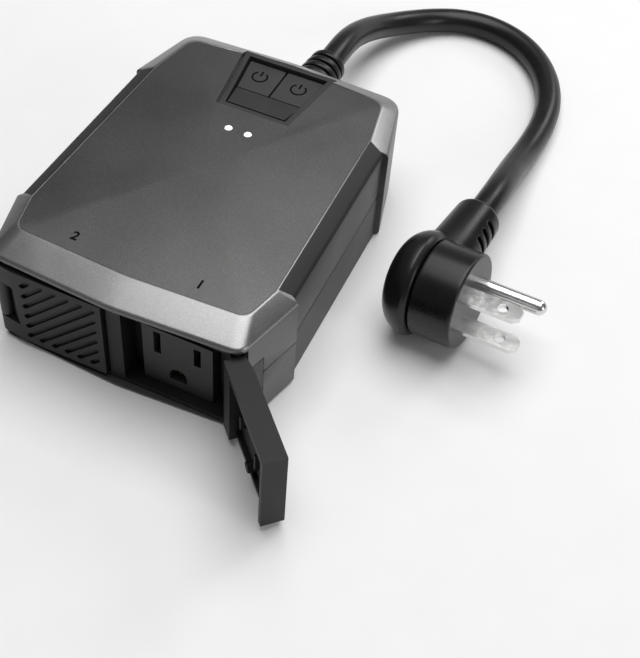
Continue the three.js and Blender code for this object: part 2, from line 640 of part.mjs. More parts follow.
/** A folded blade contact, a U seen from above that opens to the front, with a tail behind. */
function bladeContact(x, tall) {
  const front = OUTLET_Y + OUTLET_FACE + GAP;
  const back = OUTLET_Y + OUTLET_LENGTH - 2;
  const outer = CONTACT_HALF;
  const inner = CONTACT_HALF - CONTACT;
  return prism([
    [-outer, front], [-inner, front], [-inner, back - CONTACT], [inner, back - CONTACT], [inner, front],
    [outer, front], [outer, back], [CONTACT, back], [CONTACT, back + 5], [-CONTACT, back + 5],
    [-CONTACT, back], [-outer, back],
  ].map(([u, y]) => [x + u, y]), SLOT_Z - tall / 2, SLOT_Z + tall / 2);
}

/** The ground contact: a split sleeve along Y. */
function groundContact(x) {
  const outline = [];
  const arc = (radius, forward) => {
    for (let i = 0; i <= 16; i += 1) {
      const share = forward ? i / 16 : 1 - i / 16;
      const a = THREE.MathUtils.degToRad(-75 + 330 * share);
      outline.push([x + radius * Math.cos(a), SLOT_Z - GROUND_DROP + radius * Math.sin(a)]);
    }
  };
  arc(GROUND_PIN_R + 0.2 + CONTACT, true);
  arc(GROUND_PIN_R + 0.2, false);
  return prismY(outline, OUTLET_Y + OUTLET_FACE + GAP, OUTLET_Y + OUTLET_LENGTH + 3);
}

for (const [number, side] of [[1, 1], [2, -1]]) {
  const x = side * OUTLET_X;
  piece(`receptacle_${number}`, receptacle(x), FINISH.black);
  piece(`neutral_contact_${number}`, bladeContact(x - SLOT_PITCH / 2, NEUTRAL_SLOT), FINISH.brass);
  piece(`hot_contact_${number}`, bladeContact(x + SLOT_PITCH / 2, HOT_SLOT), FINISH.brass);
  piece(`ground_contact_${number}`, groundContact(x), FINISH.brass);
}

// ---------------------------------------------------------------- keypad

/** The keypad frame: a bezel round the buttons, with a ramp in front of them. */
function keypadFrame() {
  const top = HEIGHT - KEYPAD_DROP;
  const inset = GAP + KEYPAD_BEZEL;
  const rampStart = KEYPAD_START + inset + KEYPAD_SLIT;
  const rampEnd = BUTTON_START + 0.1;
  const aboveRamp = prismX([
    [rampStart, top], [rampEnd, BUTTON_TOP], [rampEnd, top + 1], [rampStart, top + 1],
  ], -KEYPAD_BACK_WIDTH / 2, KEYPAD_BACK_WIDTH / 2);
  const slit = cut(
    prism(keypadOutline(inset), BUTTON_TOP - BUTTON_THICK, HEIGHT),
    prism(keypadOutline(inset + KEYPAD_SLIT), 0, HEIGHT + 1),
  );
  return cut(
    prism(keypadOutline(GAP), KEYPAD_FLOOR + SLIP, top),
    prism(keypadOutline(inset, BUTTON_START), KEYPAD_FLOOR - 1, HEIGHT),
    aboveRamp.intersect(prism(keypadOutline(inset), 0, HEIGHT + 2)),
    slit,
  );
}

/** One push button with its stem, on the right for side 1 and on the left for side -1. */
function button(side) {
  const plan = keypadOutline(GAP + KEYPAD_BEZEL + KEYPAD_SLIT, BUTTON_START + GAP);
  const pad = prism(plan, BUTTON_TOP - BUTTON_THICK, BUTTON_TOP);
  const half = block(side * GAP, side * KEYPAD_BACK_WIDTH, FRONT, BACK, 0, HEIGHT);
  const stem = rod(side * STEM_X, STEM_Y, STEM_R, STEM_END, BUTTON_TOP - BUTTON_THICK + 0.5, 16);
  return join(pad.intersect(half), stem);
}

piece('keypad_frame', keypadFrame(), FINISH.black);
piece('button_1', button(1), FINISH.rubber);
piece('button_2', button(-1), FINISH.rubber);
[[1, 1], [2, -1]].forEach(([number, side]) => {
  const x = side * LENS_PITCH / 2;
  piece(`indicator_lens_${number}`, rod(x, LENS_Y, LENS_R, BUTTON_BOARD_Z + 3, HEIGHT - 0.1), FINISH.lens);
});

// ---------------------------------------------------------------- electronics

piece('circuit_board', block(
  -BOARD_HALF_WIDTH, BOARD_HALF_WIDTH, BOARD_FRONT, BOARD_BACK, BOARD_Z, BOARD_Z + BOARD,
), FINISH.board);
for (const [number, side] of [[1, 1], [2, -1]]) {
  piece(`relay_${number}`, block(
    side * 6, side * 25, BOARD_FRONT + 2, BOARD_FRONT + 18, BOARD_TOP, BOARD_TOP + 15,
  ), FINISH.blue);
}
piece('transformer', join(
  block(-24, -8, BOARD_FRONT + 24, BOARD_FRONT + 40, BOARD_TOP, BOARD_TOP + 5),
  block(-22, -10, BOARD_FRONT + 26, BOARD_FRONT + 38, BOARD_TOP, BUTTON_BOARD_Z - 1.2),
), FINISH.yellow);
piece('capacitor', rod(16, BOARD_FRONT + 29, 5, BOARD_TOP, BUTTON_BOARD_Z - 1.2), FINISH.dark);
piece('radio_module', block(
  6, 24, BOARD_FRONT + 40, BOARD_FRONT + 62, BOARD_TOP, BOARD_TOP + 2.6,
), FINISH.steel);

piece('button_board', block(-15, 15, LENS_Y - 5, KEYPAD_END - 4, BUTTON_BOARD_Z, BUTTON_BOARD_Z + 1.2),
  FINISH.board);
for (const [number, side] of [[1, 1], [2, -1]]) {
  const low = BUTTON_BOARD_Z + 1.3;
  piece(`tact_switch_${number}`, join(
    block(side * STEM_X - 3, side * STEM_X + 3, STEM_Y - 3, STEM_Y + 3, low, low + 2.4),
    rod(side * STEM_X, STEM_Y, 1.5, low, STEM_END - BUTTON_TRAVEL - 0.2, 16),
  ), FINISH.dark);
  const x = side * LENS_PITCH / 2;
  piece(`led_${number}`, block(x - 1, x + 1, LENS_Y - 1, LENS_Y + 1, low, low + 1), FINISH.lens);
}

// ---------------------------------------------------------------- strain relief and cord

/** The strain relief along Y: a flange inside the wall, a collar outside it and tapering rings. */
function strainRelief() {
  const bore = GLAND_R - 0.7;
  const seat = -WALL - RECESS - 4 * GAP;
  const profile = [
    [0, seat - 1.2], [GLAND_R + 1.6, seat - 1.2], [GLAND_R + 1.6, seat], [bore, seat], [bore, GAP],
    [GLAND_R + 0.4, GAP], [GLAND_R + 0.4, 2.2],
  ];
  const pitch = (GLAND_LENGTH - 3) / GLAND_RINGS;
  for (let i = 0; i < GLAND_RINGS; i += 1) {
    const at = 2.2 + i * pitch;
    const radius = THREE.MathUtils.lerp(GLAND_R, GLAND_END_R, i / (GLAND_RINGS - 1));
    profile.push(
      [radius - 1, at + 0.1], [radius - 1, at + 1], [radius, at + 1.2], [radius, at + pitch],
    );
  }
  profile.push([GLAND_END_R, GLAND_LENGTH], [0, GLAND_LENGTH]);
  return solid(turned(profile).translate(GLAND_X, BACK, GLAND_Z));
}

/** A round cord carried along a smooth curve through the points of its route. */
function cord() {
  const path = new THREE.CatmullRomCurve3(CORD_ROUTE.map((p) => new THREE.Vector3(...p)));
  const section = new THREE.Shape(rodOutline(CORD_R, 10).map(([x, y]) => new THREE.Vector2(x, y)));
  return new THREE.ExtrudeGeometry(section, { extrudePath: path, steps: 64, bevelEnabled: false });
}

/** A regular polygon that stands for a circle. */
function rodOutline(radius, sides) {
  const outline = [];
  for (let i = 0; i < sides; i += 1) {
    const a = (i * 2 * Math.PI) / sides;
    outline.push([radius * Math.cos(a), radius * Math.sin(a)]);
  }
  return outline;
}

piece('strain_relief', strainRelief(), FINISH.cord);
piece('power_cord', solid(cord()), FINISH.cord);

// ---------------------------------------------------------------- plug
// In the plug's own frame +X points along the blades, +Y to the neck and +Z up, from the face's centre.

/** Turns a profile about the plug's X axis. */
function turnedX(profile, sides = 40) {
  return solid(turned(profile, sides).rotateZ(-Math.PI / 2));
}

/** The neck, a tapering rod along Y with a rounded end, grown by `grow`. */
function neck(grow = 0) {
  const r = NECK_R + grow;
  const end = NECK_END_R + grow;
  const top = NECK_LENGTH + grow;
  const profile = [
    [0, 0], [r, 0], [r, BARREL_R], [end, top - 2.2], [end - 0.7, top - 0.6], [end - 2, top], [0, top],
  ];
  return solid(turned(profile, 32).translate(-NECK_BEHIND, 0, 0));
}

/** The moulded body: barrel, neck with strain grooves on its front side, and pockets for the blades. */
function plugBody() {
  const barrel = turnedX([
    [0, 0], [BARREL_R - 0.8, 0], [BARREL_R, -0.8], [BARREL_R, -BARREL_LENGTH], [0, -BARREL_LENGTH],
  ]);
  const behind = block(-BARREL_LENGTH - 30, -BARREL_LENGTH, -20, BARREL_R - 3, -20, 20);
  const slots = [];
  for (let i = 0; i < NECK_GROOVES; i += 1) {
    const y = BARREL_R + 5.5 + i * 4;
    slots.push(block(-NECK_BEHIND + NECK_R - 3.4, 0, y, y + 1.8, -5.2, 5.2));
  }
  const pockets = [1, -1].map((side) => blade(side, SLIP));
  return cut(join(barrel, cut(neck(), behind)), ...slots, ...pockets, groundPin(SLIP));
}

/** The bulged rear cap, cut out where the neck passes. */
function plugCap() {
  const start = -BARREL_LENGTH - GAP;
  const profile = [[0, start], [BARREL_R - 0.2, start], [CAP_R - 0.9, start - 0.5], [CAP_R, start - 2]];
  for (let i = 1; i <= 8; i += 1) {
    const a = (i * Math.PI) / 16;
    profile.push([CAP_R - 8.6 + 8.6 * Math.cos(a), start - 2 - (CAP_LENGTH - 2) * Math.sin(a)]);
  }
  profile.push([0, start - CAP_LENGTH]);
  const seat = block(-BARREL_LENGTH - 30, 0, BARREL_R - 3 - GAP, 40, -20, 20);
  return cut(turnedX(profile), neck(GAP).intersect(seat));
}

/** A flat blade above (side 1) or below (side -1) the middle, grown by `grow`. */
function blade(side, grow = 0) {
  const half = BLADE_WIDTH / 2 + grow;
  const outline = [
    [-BLADE_ROOT - grow, -half], [BLADE_LENGTH - 2, -half], [BLADE_LENGTH, -half + 1.6],
    [BLADE_LENGTH, half - 1.6], [BLADE_LENGTH - 2, half], [-BLADE_ROOT - grow, half],
  ].map(([x, y]) => [x, y - BLADE_OFFSET]);
  const z = (side * SLOT_PITCH) / 2;
  const flat = prism(outline, z - BLADE_THICK / 2 - grow, z + BLADE_THICK / 2 + grow);
  const hole = rod(BLADE_LENGTH - 5.9, -BLADE_OFFSET, BLADE_HOLE_R, z - 5, z + 5, 20);
  return grow > 0 ? flat : cut(flat, hole);
}

/** The round ground pin with a domed tip, grown by `grow`. */
function groundPin(grow = 0) {
  const r = GROUND_PIN_R + grow;
  const end = GROUND_PIN_LENGTH;
  const profile = [[0, -BLADE_ROOT - grow], [r, -BLADE_ROOT - grow], [r, end - r]];
  for (let i = 1; i <= 5; i += 1) {
    const a = (i * Math.PI) / 10;
    profile.push([i < 5 ? r * Math.cos(a) : 0, end - r + r * Math.sin(a)]);
  }
  return solid(turned(profile, 20).rotateZ(-Math.PI / 2).translate(0, GROUND_DROP - BLADE_OFFSET, 0));
}

const lean = THREE.MathUtils.degToRad(PLUG_LEAN);
const capMiddle = BARREL_LENGTH + GAP + 2;
const plug = new THREE.Group();
plug.position.copy(PLUG_FACE).setZ(capMiddle * Math.sin(lean) + CAP_R * Math.cos(lean) + 0.25);
plug.rotation.set(0, -lean, THREE.MathUtils.degToRad(PLUG_TURN), 'ZYX');
piece('plug_body', plugBody(), FINISH.cord, plug);
piece('plug_cap', plugCap(), FINISH.cord, plug);
piece('hot_blade', blade(1), FINISH.nickel, plug);
piece('neutral_blade', blade(-1), FINISH.nickel, plug);
piece('ground_pin', groundPin(), FINISH.nickel, plug);
object.add(plug);

export default object;
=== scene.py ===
# %% [markdown]
# # An outdoor smart plug
# The object is a flat weatherproof case with two covered outlets in front, two push buttons on
# top, and a short cord that ends in a right-angle plug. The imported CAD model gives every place
# and size. This lesson dresses that model: it rebuilds the pieces that show as smooth surfaces
# worked out with numpy, softens the edges of the flat ones, and gives each its finish.

# %% Load the fixed frame
import json
import math
import bmesh
import bpy
import numpy as np
from mathutils import Matrix, Vector

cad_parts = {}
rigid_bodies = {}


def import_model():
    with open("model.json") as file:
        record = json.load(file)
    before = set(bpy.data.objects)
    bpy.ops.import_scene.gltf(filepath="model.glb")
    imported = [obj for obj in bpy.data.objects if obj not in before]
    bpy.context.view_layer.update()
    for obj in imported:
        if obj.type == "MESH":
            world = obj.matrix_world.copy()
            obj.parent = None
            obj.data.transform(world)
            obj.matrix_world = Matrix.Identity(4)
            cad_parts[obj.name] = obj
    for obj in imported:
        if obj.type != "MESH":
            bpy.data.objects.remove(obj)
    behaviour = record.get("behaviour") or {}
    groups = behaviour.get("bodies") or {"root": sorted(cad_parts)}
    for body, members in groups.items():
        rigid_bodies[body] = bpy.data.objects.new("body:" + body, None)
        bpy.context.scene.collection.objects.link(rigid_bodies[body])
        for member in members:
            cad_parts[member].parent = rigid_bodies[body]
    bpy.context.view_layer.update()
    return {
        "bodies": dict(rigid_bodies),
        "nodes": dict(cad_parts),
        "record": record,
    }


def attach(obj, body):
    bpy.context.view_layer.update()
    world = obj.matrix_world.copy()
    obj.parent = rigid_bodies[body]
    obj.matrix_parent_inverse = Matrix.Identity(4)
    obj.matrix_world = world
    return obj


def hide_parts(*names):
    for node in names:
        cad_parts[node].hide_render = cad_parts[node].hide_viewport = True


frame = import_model()
nodes = frame["nodes"]
MM = 0.001  # the working numbers below are millimetres, the mesh data metres

# %% [markdown]
# ## Camera
# The camera looks down on the front right corner, from about half a metre. It is placed by three
# directions, its right, its up and the way back from the object, which are the columns of its
# matrix. A small shift moves the picture without turning the camera.

# %% Camera
def add_camera():
    """A perspective camera from its place and its right, up and back directions."""
    data = bpy.data.cameras.new("studio_camera")
    data.lens, data.sensor_width, data.shift_y = 66.13, 36, -0.152
    data.clip_start, data.clip_end = 0.01, 20
    camera = bpy.data.objects.new("studio_camera", data)
    bpy.context.scene.collection.objects.link(camera)
    turn = np.array([(0.9087, 0.4135, 0.0564), (-0.3326, 0.6360, 0.6963), (0.2521, -0.6515, 0.7155)])
    matrix = np.eye(4)
    matrix[:3, :3] = turn.T
    matrix[:3, 3] = (0.1278, -0.2357, 0.2870)
    camera.matrix_world = Matrix(matrix.tolist())
    bpy.context.scene.camera = camera
    return camera


camera = add_camera()
print("camera at", tuple(round(v, 3) for v in camera.location))

# %% [markdown]
# ## Cord
# The cord is 9.2 mm thick and stiff. It leaves the strain relief level, sinks to the surface, lies
# there in one open loop and climbs to the plug's neck. Its centreline passes through given
# points, and a Catmull-Rom curve joins them: between two points it is a cubic whose slope at each
# point follows the two neighbours, so that the line never kinks.

# %% The cord's line
CORD_RADIUS = 4.6
CORD_ROUTE = np.array([
    (3, 82.9, 21), (3, 90, 20.9), (2.9, 97.5, 20), (3, 105.5, 18), (3.8, 114, 15.1), (5.6, 122.5, 11.9),
    (8.9, 131, 8.9), (14, 139.3, 6.6), (21, 146.6, 5.2), (29.6, 151.6, 4.7), (39.4, 153.4, 4.62),
    (49.4, 151.8, 4.62), (58.8, 147, 4.62), (66.8, 139.4, 4.62), (72.8, 129.8, 4.62), (76.5, 119, 4.62),
    (78, 107.6, 4.8), (78, 96, 5.6), (77.4, 84.9, 7.2), (76.9, 74.2, 10), (76.8, 64, 13.1),
    (76.7, 54.7, 15.6), (76.2, 46.8, 16.7), (75.4, 39.4, 16.9),
])


def smooth_line(points, steps=8):
    """Catmull-Rom: a cubic p = a + b t + c t^2 + d t^3 on each span between two points.

    Its slope at a point is half the gap between that point's neighbours.
    """
    points = np.asarray(points, float)
    padded = np.vstack([2 * points[0] - points[1], points, 2 * points[-1] - points[-2]])
    before, here, after, beyond = padded[:-3], padded[1:-2], padded[2:-1], padded[3:]
    t = (np.arange(steps) / steps)[:, None, None]
    line = 0.5 * (2 * here + (after - before) * t
                  + (2 * before - 5 * here + 4 * after - beyond) * t ** 2
                  + (3 * here - before - 3 * after + beyond) * t ** 3)
    return np.vstack([line.transpose(1, 0, 2).reshape(-1, 3), points[-1:]])


cord_line = smooth_line(CORD_ROUTE)


# %% A tube along a line
def frames_along(line):
    """Three directions at each point: along the line, level across it, and square to both."""
    ahead = np.gradient(line, axis=0)
    ahead /= np.linalg.norm(ahead, axis=1, keepdims=True)
    side = np.cross(ahead, (0, 0, 1.0))
    side /= np.linalg.norm(side, axis=1, keepdims=True)
    return ahead, side, np.cross(side, ahead)


def tube(line, radius, sides=32):
    """Rings of points, centre + r cos a * side + r sin a * above, between two rings shrunk to a point."""
    ahead, side, above = frames_along(line)
    angle = np.arange(sides) * 2 * np.pi / sides
    ring = np.cos(angle)[None, :, None] * side[:, None] + np.sin(angle)[None, :, None] * above[:, None]
    rings = line[:, None] + radius * ring
    ends = [np.repeat(line[i][None, None], sides, axis=1) for i in (0, -1)]
    return np.concatenate([ends[0], rings, ends[1]])


print("cord rings:", tube(cord_line, CORD_RADIUS).shape)

# %% [markdown]
# ## Shader maths in Python
# A material is a graph of nodes, and a formula built by hand from Math nodes is hard to read. The
# class below wraps one output socket and overloads the signs that are used here, so that
# `0.3 + mask * 0.2` adds its own nodes, whichever side the plain number stands on. Every other
# node comes from one method of the finish, which takes the node's type, its settings and its inputs.

# %% A socket that can be calculated with
class Value:
    """One output socket of a finish. Sums and products of it add Math nodes."""

    def __init__(self, finish, socket):
        self.finish, self.socket = finish, socket

    def _math(self, operation, other):
        return self.finish.node("ShaderNodeMath", {"operation": operation}, {0: self, 1: other})

    def __add__(self, other):
        return self._math("ADD", other)

    def __mul__(self, other):
        return self._math("MULTIPLY", other)

    __radd__ = __add__
    __rmul__ = __mul__


# %% A finish
class Finish:
    """A material of one Principled shader. Its pattern reads Object coordinates, which are metres."""

    def __init__(self, name, **constants):
        self.material = bpy.data.materials.new(name)
        self.material.use_nodes = True
        self.tree = self.material.node_tree
        self.shader = self.tree.nodes["Principled BSDF"]
        for socket, number in constants.items():
            self.shader.inputs[socket.replace("_", " ")].default_value = number
        self.place = self.node("ShaderNodeTexCoord", output="Object")

    def node(self, kind, settings=None, inputs=None, output=0):
        """Adds a node: its settings first, then the value or link of each input. Gives one output."""
        made = self.tree.nodes.new(kind)
        for key, setting in (settings or {}).items():
            setattr(made, key, setting)
        for key, given in (inputs or {}).items():
            self.feed(made.inputs[key], given)
        return Value(self, made.outputs[output])

    def feed(self, socket, given):
        """Links a Value to a socket, or sets the socket to a plain number or colour."""
        if isinstance(given, Value):
            self.tree.links.new(given.socket, socket)
        else:
            socket.default_value = (*given, 1) if socket.type == "RGBA" and len(given) == 3 else given

    def noise(self, per_mm, detail=2.0, place=None, rough=0.5):
        """Soft noise from 0 to 1, with this many waves in a millimetre."""
        return self.node("ShaderNodeTexNoise", None, {
            "Vector": place or self.place, "Scale": per_mm / MM, "Detail": detail, "Roughness": rough})

    def stretched(self, scale):
        """The place, scaled differently along each axis, for grain that runs one way."""
        return self.node("ShaderNodeMapping", None, {"Vector": self.place, "Scale": scale})

    def between(self, share, first, second):
        """A colour that goes from the first to the second as the share goes from 0 to 1."""
        return self.node("ShaderNodeMix", {"data_type": "RGBA"}, {0: share, 6: first, 7: second}, 2)

    def band(self, value, low, high):
        """0 below low, 1 above high, and even between them."""
        return self.node("ShaderNodeMapRange", None, {"Value": value, "From Min": low, "From Max": high})

    def bump(self, height, depth_mm):
        """A normal tilted by the slope of a height, whose full swing is depth_mm."""
        self.shade(Normal=self.node("ShaderNodeBump", None, {"Height": height, "Distance": depth_mm * MM}))

    def shade(self, **inputs):
        """Links what changes over the surface to the shader: base colour, roughness, normal."""
        for key, given in inputs.items():
            self.feed(self.shader.inputs[key.replace("_", " ")], given)


print("shader maths ready")

# %% [markdown]
# ## Finishes
# Moulded plastic is never one flat colour. Satin paint has a fine orange peel and flakes, textured
# plastic has a grain of a few tenths of a millimetre with a dull sheen, and rubber is duller still.
# An image of each surface would have to be unwrapped onto every piece, so noise worked out from the
# place in space is used: it needs no unwrapping and has the right scale everywhere. Each finish
# mixes two close tones with slow noise, varies its roughness with finer noise, and gets its grain
# as bump. The case wears four tones of one paint: bumpers, recesses, chamfer and top panel. The
# recesses' darker tone is painted shade, and the chamfer's lighter tone is a painted highlight.

# %% Painted shell, panel and textured plastic
def grained(name, dark, light, rough, grain, depth, metallic=0.0, flake=0.0, patch=0.05, specular=0.5):
    """A moulded or painted finish: two tones in slow patches, fine grain as bump, dull and shiny spots.

    The colour goes from dark to light as slow noise goes from 0.35 to 0.65. `flake` lightens
    sparse fine spots, `grain` is the grain's waves per millimetre and `depth` its height in them.
    The roughness is `rough` where both noises have their middle value.
    """
    made = Finish(name, Metallic=metallic, Specular_IOR_Level=specular)
    slow = made.band(made.noise(patch, 3), 0.35, 0.65)
    fine = made.noise(grain, 3, rough=0.6)
    tone = made.between(slow, dark, light)
    if flake:
        sparkle = made.band(made.noise(grain, 2), 0.52, 0.74)
        tone = made.between(sparkle * flake, tone, tuple(min(1, 3.2 * c + 0.06) for c in light))
    made.shade(Base_Color=tone, Roughness=slow * 0.05 + fine * 0.12 + (rough - 0.085))
    made.bump(fine, depth)
    return made.material


def greys(dark, light, tint=0.0):
    """Two neutral tones for a finish, their blue raised by a share `tint`."""
    return tuple((tone, tone, tone * (1 + tint)) for tone in (dark, light))


print("two tones of a dark grey:", greys(0.05, 0.06))


# %% The plastics by slot
FINISH = {
    "shell_grey": grained("satin_shell_paint", *greys(0.115, 0.135), 0.40, 4.0, 0.008,
                          metallic=0.75, flake=0.20, specular=0.4),
    # painted shade: a darker copy of the shell paint for the recess walls and the hinge brackets
    "recess_shade_grey": grained("painted_shade_recess", *greys(0.040, 0.050), 0.44, 4.0, 0.008,
                           metallic=0.4, flake=0.15, specular=0.35),
    # painted highlight: a lighter copy of the shell paint that stands in for the light the chamfer reflects
    "chamfer_highlight_grey": grained("painted_highlight_chamfer", *greys(0.220, 0.260), 0.34, 4.0, 0.008,
                            metallic=0.88, flake=0.18),
    "panel_dark": grained("satin_panel_paint", *greys(0.076, 0.090, -0.01), 0.40, 4.4, 0.008,
                          metallic=0.70, flake=0.26, patch=0.03),
    "keypad_grey": grained("keypad_plastic", *greys(0.030, 0.038), 0.44, 4.0, 0.012,
                           metallic=0.2, specular=0.4),
    "black_plastic": grained("textured_black_plastic", *greys(0.008, 0.013), 0.48, 4.0, 0.018,
                             specular=0.28),
    "side_plastic": grained("dark_inlay_plastic", *greys(0.014, 0.019), 0.50, 4.0, 0.018, specular=0.3),
    "button_rubber": grained("button_rubber", *greys(0.030, 0.038), 0.46, 5.0, 0.008, specular=0.35),
    "seal_rubber": grained("seal_rubber", *greys(0.006, 0.011), 0.62, 2.0, 0.025, specular=0.25),
    "cord_jacket": grained("cord_jacket_vinyl", *greys(0.0055, 0.0085), 0.33, 1.4, 0.015,
                           patch=0.08, specular=0.36),
    "plug_vinyl": grained("plug_vinyl", *greys(0.0045, 0.007), 0.30, 2.0, 0.010, specular=0.38),
    "component_dark": grained("component_resin", *greys(0.02, 0.03, 0.1), 0.5, 3.0, 0.01),
    "relay_blue": grained("relay_case", (0.03, 0.08, 0.22), (0.04, 0.10, 0.27), 0.4, 2.0, 0.01),
    "transformer_yellow": grained("transformer_tape", (0.55, 0.36, 0.06), (0.66, 0.44, 0.09),
                                  0.5, 1.5, 0.02),
}
print("plastic finishes:", sorted(FINISH))


# %% Metals, board and lens
def drawn_metal(name, dark, light, rough, along, streak=0.35):
    """Metal with fine streaks along one axis: noise squeezed along it moves the colour and roughness."""
    made = Finish(name, Metallic=1.0)
    squeeze = tuple(0.06 if axis == along else 1.0 for axis in range(3))
    streaks = made.noise(7.0, 3, made.stretched(squeeze))
    spots = made.band(made.noise(0.5, 4), 0.35, 0.7)
    made.shade(Base_Color=made.between(spots * 0.5 + streaks * streak, dark, light),
               Roughness=streaks * 0.10 + spots * 0.05 + (rough - 0.07))
    made.bump(streaks, 0.0015)
    return made.material


def board_finish():
    """Green solder mask over copper: the joints of a brick pattern, a little proud, read as tracks."""
    made = Finish("board_mask", Roughness=0.45)
    tracks = made.band(made.node("ShaderNodeTexBrick", None, {
        "Vector": made.place, "Scale": 160.0, "Mortar Size": 0.03}, "Fac"), 0.2, 0.6)
    made.shade(Base_Color=made.between(tracks, (0.012, 0.09, 0.035), (0.03, 0.17, 0.06)),
               Roughness=made.noise(1.0, 2) * 0.2 + 0.35)
    made.bump(tracks, 0.02)
    return made.material


def lens_finish():
    """Frosted white plastic, lit softly from below, its colour and glow varied by the same noise."""
    made = Finish("lens_frost", Emission_Strength=0.55, Subsurface_Weight=0.1)
    frost = made.noise(2.0, 3)
    made.shade(Base_Color=made.between(frost, (0.86, 0.87, 0.88), (0.95, 0.95, 0.95)),
               Emission_Color=made.between(frost, (0.9, 0.93, 1.0), (1.0, 1.0, 1.0)),
               Roughness=frost * 0.2 + 0.2)
    made.bump(frost, 0.01)
    return made.material


def printed_ink(name, dark, light):
    """Thin printed ink with slightly starved patches."""
    made = Finish(name, Specular_IOR_Level=0.05)
    starved = made.noise(3.0, 3)
    made.shade(Base_Color=made.between(starved, dark, light), Roughness=starved * 0.2 + 0.55)
    return made.material


FINISH.update({
    "nickel_plate": drawn_metal("nickel_plate", (0.68, 0.675, 0.67), (0.82, 0.815, 0.81), 0.22, 0),
    "contact_brass": drawn_metal("contact_brass", (0.55, 0.38, 0.14), (0.70, 0.50, 0.20), 0.35, 1),
    "screw_steel": drawn_metal("screw_steel", (0.30, 0.30, 0.32), (0.46, 0.46, 0.48), 0.38, 2),
    "board_green": board_finish(),
    "lens_white": lens_finish(),
    "ink_black": printed_ink("black_ink", *greys(0.001, 0.003)),
})
print("finishes in all:", len(FINISH))

# %% [markdown]
# ## Carried-over pieces
# What sits inside the case keeps its CAD shape, with the finish of its material slot in place of
# the plain colour. The record says which slot each node has.

# %% Finishes for the nodes that stay
slot_of = {entry["node"]: entry["material_slot"] for entry in frame["record"]["subparts"]}
for name, node in nodes.items():
    for slot in node.material_slots:
        slot.material = FINISH[slot_of[name]]
print("nodes by slot:", {s: sum(v == s for v in slot_of.values()) for s in sorted(set(slot_of.values()))})

# %% [markdown]
# ## Meshes from arrays
# A surface here is a grid of points: rows along one parameter, columns along the other. Two
# helpers do most of the work. One joins a grid with quads. The other rounds the corners of a
# line, and, because it works on whole arrays, it also rounds a stack of rings, where each "corner"
# of the profile is a whole outline of the case. A bevel modifier could round these corners too, but
# only by one width, while here each corner has its own.

# %% Grids, corners and closed meshes
def grid_faces(rows, columns, wrap=True):
    """Quads: a point, the next in its row, and the same two in the next row; rows close if wrapped."""
    r, c = np.meshgrid(np.arange(rows - 1), np.arange(columns if wrap else columns - 1), indexing="ij")
    here, beside = r * columns + c, r * columns + (c + 1) % columns
    return np.stack([here, beside, beside + columns, here + columns], -1).reshape(-1, 4)


def soft_corners(points, reach, steps=4):
    """Replaces each inner corner b of a line a-b-c by (1-t)^2 p + 2t(1-t) b + t^2 q, a parabola.

    p and q lie `reach` before and after b, or 45% of the way where that is shorter. Points may be
    single (k, 2 or 3) or whole rings (k, n, 3).
    """
    points = np.asarray(points, float)
    before, here, after = points[:-2], points[1:-1], points[2:]
    reach = np.asarray(reach, float).reshape((-1,) + (1,) * (points.ndim - 1))
    back, on = before - here, after - here
    far_back = np.linalg.norm(back, axis=-1, keepdims=True) + 1e-9
    far_on = np.linalg.norm(on, axis=-1, keepdims=True) + 1e-9
    p = here + back / far_back * np.minimum(reach, 0.45 * far_back)
    q = here + on / far_on * np.minimum(reach, 0.45 * far_on)
    t = np.linspace(0, 1, steps + 1).reshape((1, -1) + (1,) * (points.ndim - 1))
    p, q, here = p[:, None], q[:, None], here[:, None]
    arcs = (1 - t) ** 2 * p + 2 * t * (1 - t) * here + t ** 2 * q
    return np.concatenate([points[:1], arcs.reshape((-1,) + points.shape[1:]), points[-1:]])


def closed_mesh(name, points, faces):
    """A mesh from millimetre points, its doubles merged and its faces turned outwards."""
    mesh = bpy.data.meshes.new(name)
    mesh.from_pydata((np.asarray(points).reshape(-1, 3) * MM).tolist(), [], np.asarray(faces).tolist())
    return tidy_mesh(mesh)


def tidy_mesh(mesh, flats=0.0):
    """Merges points closer than a tenth of a micrometre, joins flats if asked, and turns faces out."""
    work = bmesh.new()
    work.from_mesh(mesh)
    bmesh.ops.remove_doubles(work, verts=work.verts, dist=1e-7)
    bmesh.ops.dissolve_degenerate(work, edges=work.edges, dist=1e-7)
    if flats:
        bmesh.ops.dissolve_limit(work, angle_limit=math.radians(flats), verts=work.verts, edges=work.edges)
    bmesh.ops.recalc_face_normals(work, faces=work.faces)
    work.to_mesh(mesh)
    work.free()
    return mesh


def add_object(name, mesh, *finishes):
    """Links an object for a mesh, at the origin, with these finishes."""
    made = bpy.data.objects.new(name, mesh)
    bpy.context.scene.collection.objects.link(made)
    for finish in finishes:
        mesh.materials.append(FINISH[finish])
    return made


def dress(piece, body, slot, *replaced, sharp=32):
    """Shades a piece smooth except at edges sharper than this, attaches it to its body and hides the CAD
    parts it replaces.
    """
    piece.data.shade_smooth()
    piece.data.set_sharp_from_angle(angle=math.radians(sharp))
    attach(piece, body)
    if replaced:
        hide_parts(*replaced)
    return piece


# %% [markdown]
# ## Cutting one shape out of another
# Openings are cut with boolean modifiers. All cutters of a piece go into one collection, so the
# solver runs once, and the result replaces the mesh. The cutters are prisms and turned shapes.

# %% Prisms, turned shapes and cuts
def prism(name, outline, low, high, axis=2):
    """An outline carried along an axis. With axis 2 the outline is x, y; with axis 1 it is x, z."""
    outline = np.asarray(outline, float)
    ends = [np.insert(outline, axis, level, axis=1) for level in (low, high)]
    count = len(outline)
    mesh = bpy.data.meshes.new(name)
    faces = grid_faces(2, count).tolist() + [list(range(count)), list(range(count, 2 * count))]
    mesh.from_pydata((np.vstack(ends) * MM).tolist(), [], faces)
    return tidy_mesh(mesh)


def box(name, x0, x1, y0, y1, z0, z1):
    """A box, as the prism of a rectangle."""
    return prism(name, [(x0, y0), (x1, y0), (x1, y1), (x0, y1)], z0, z1)


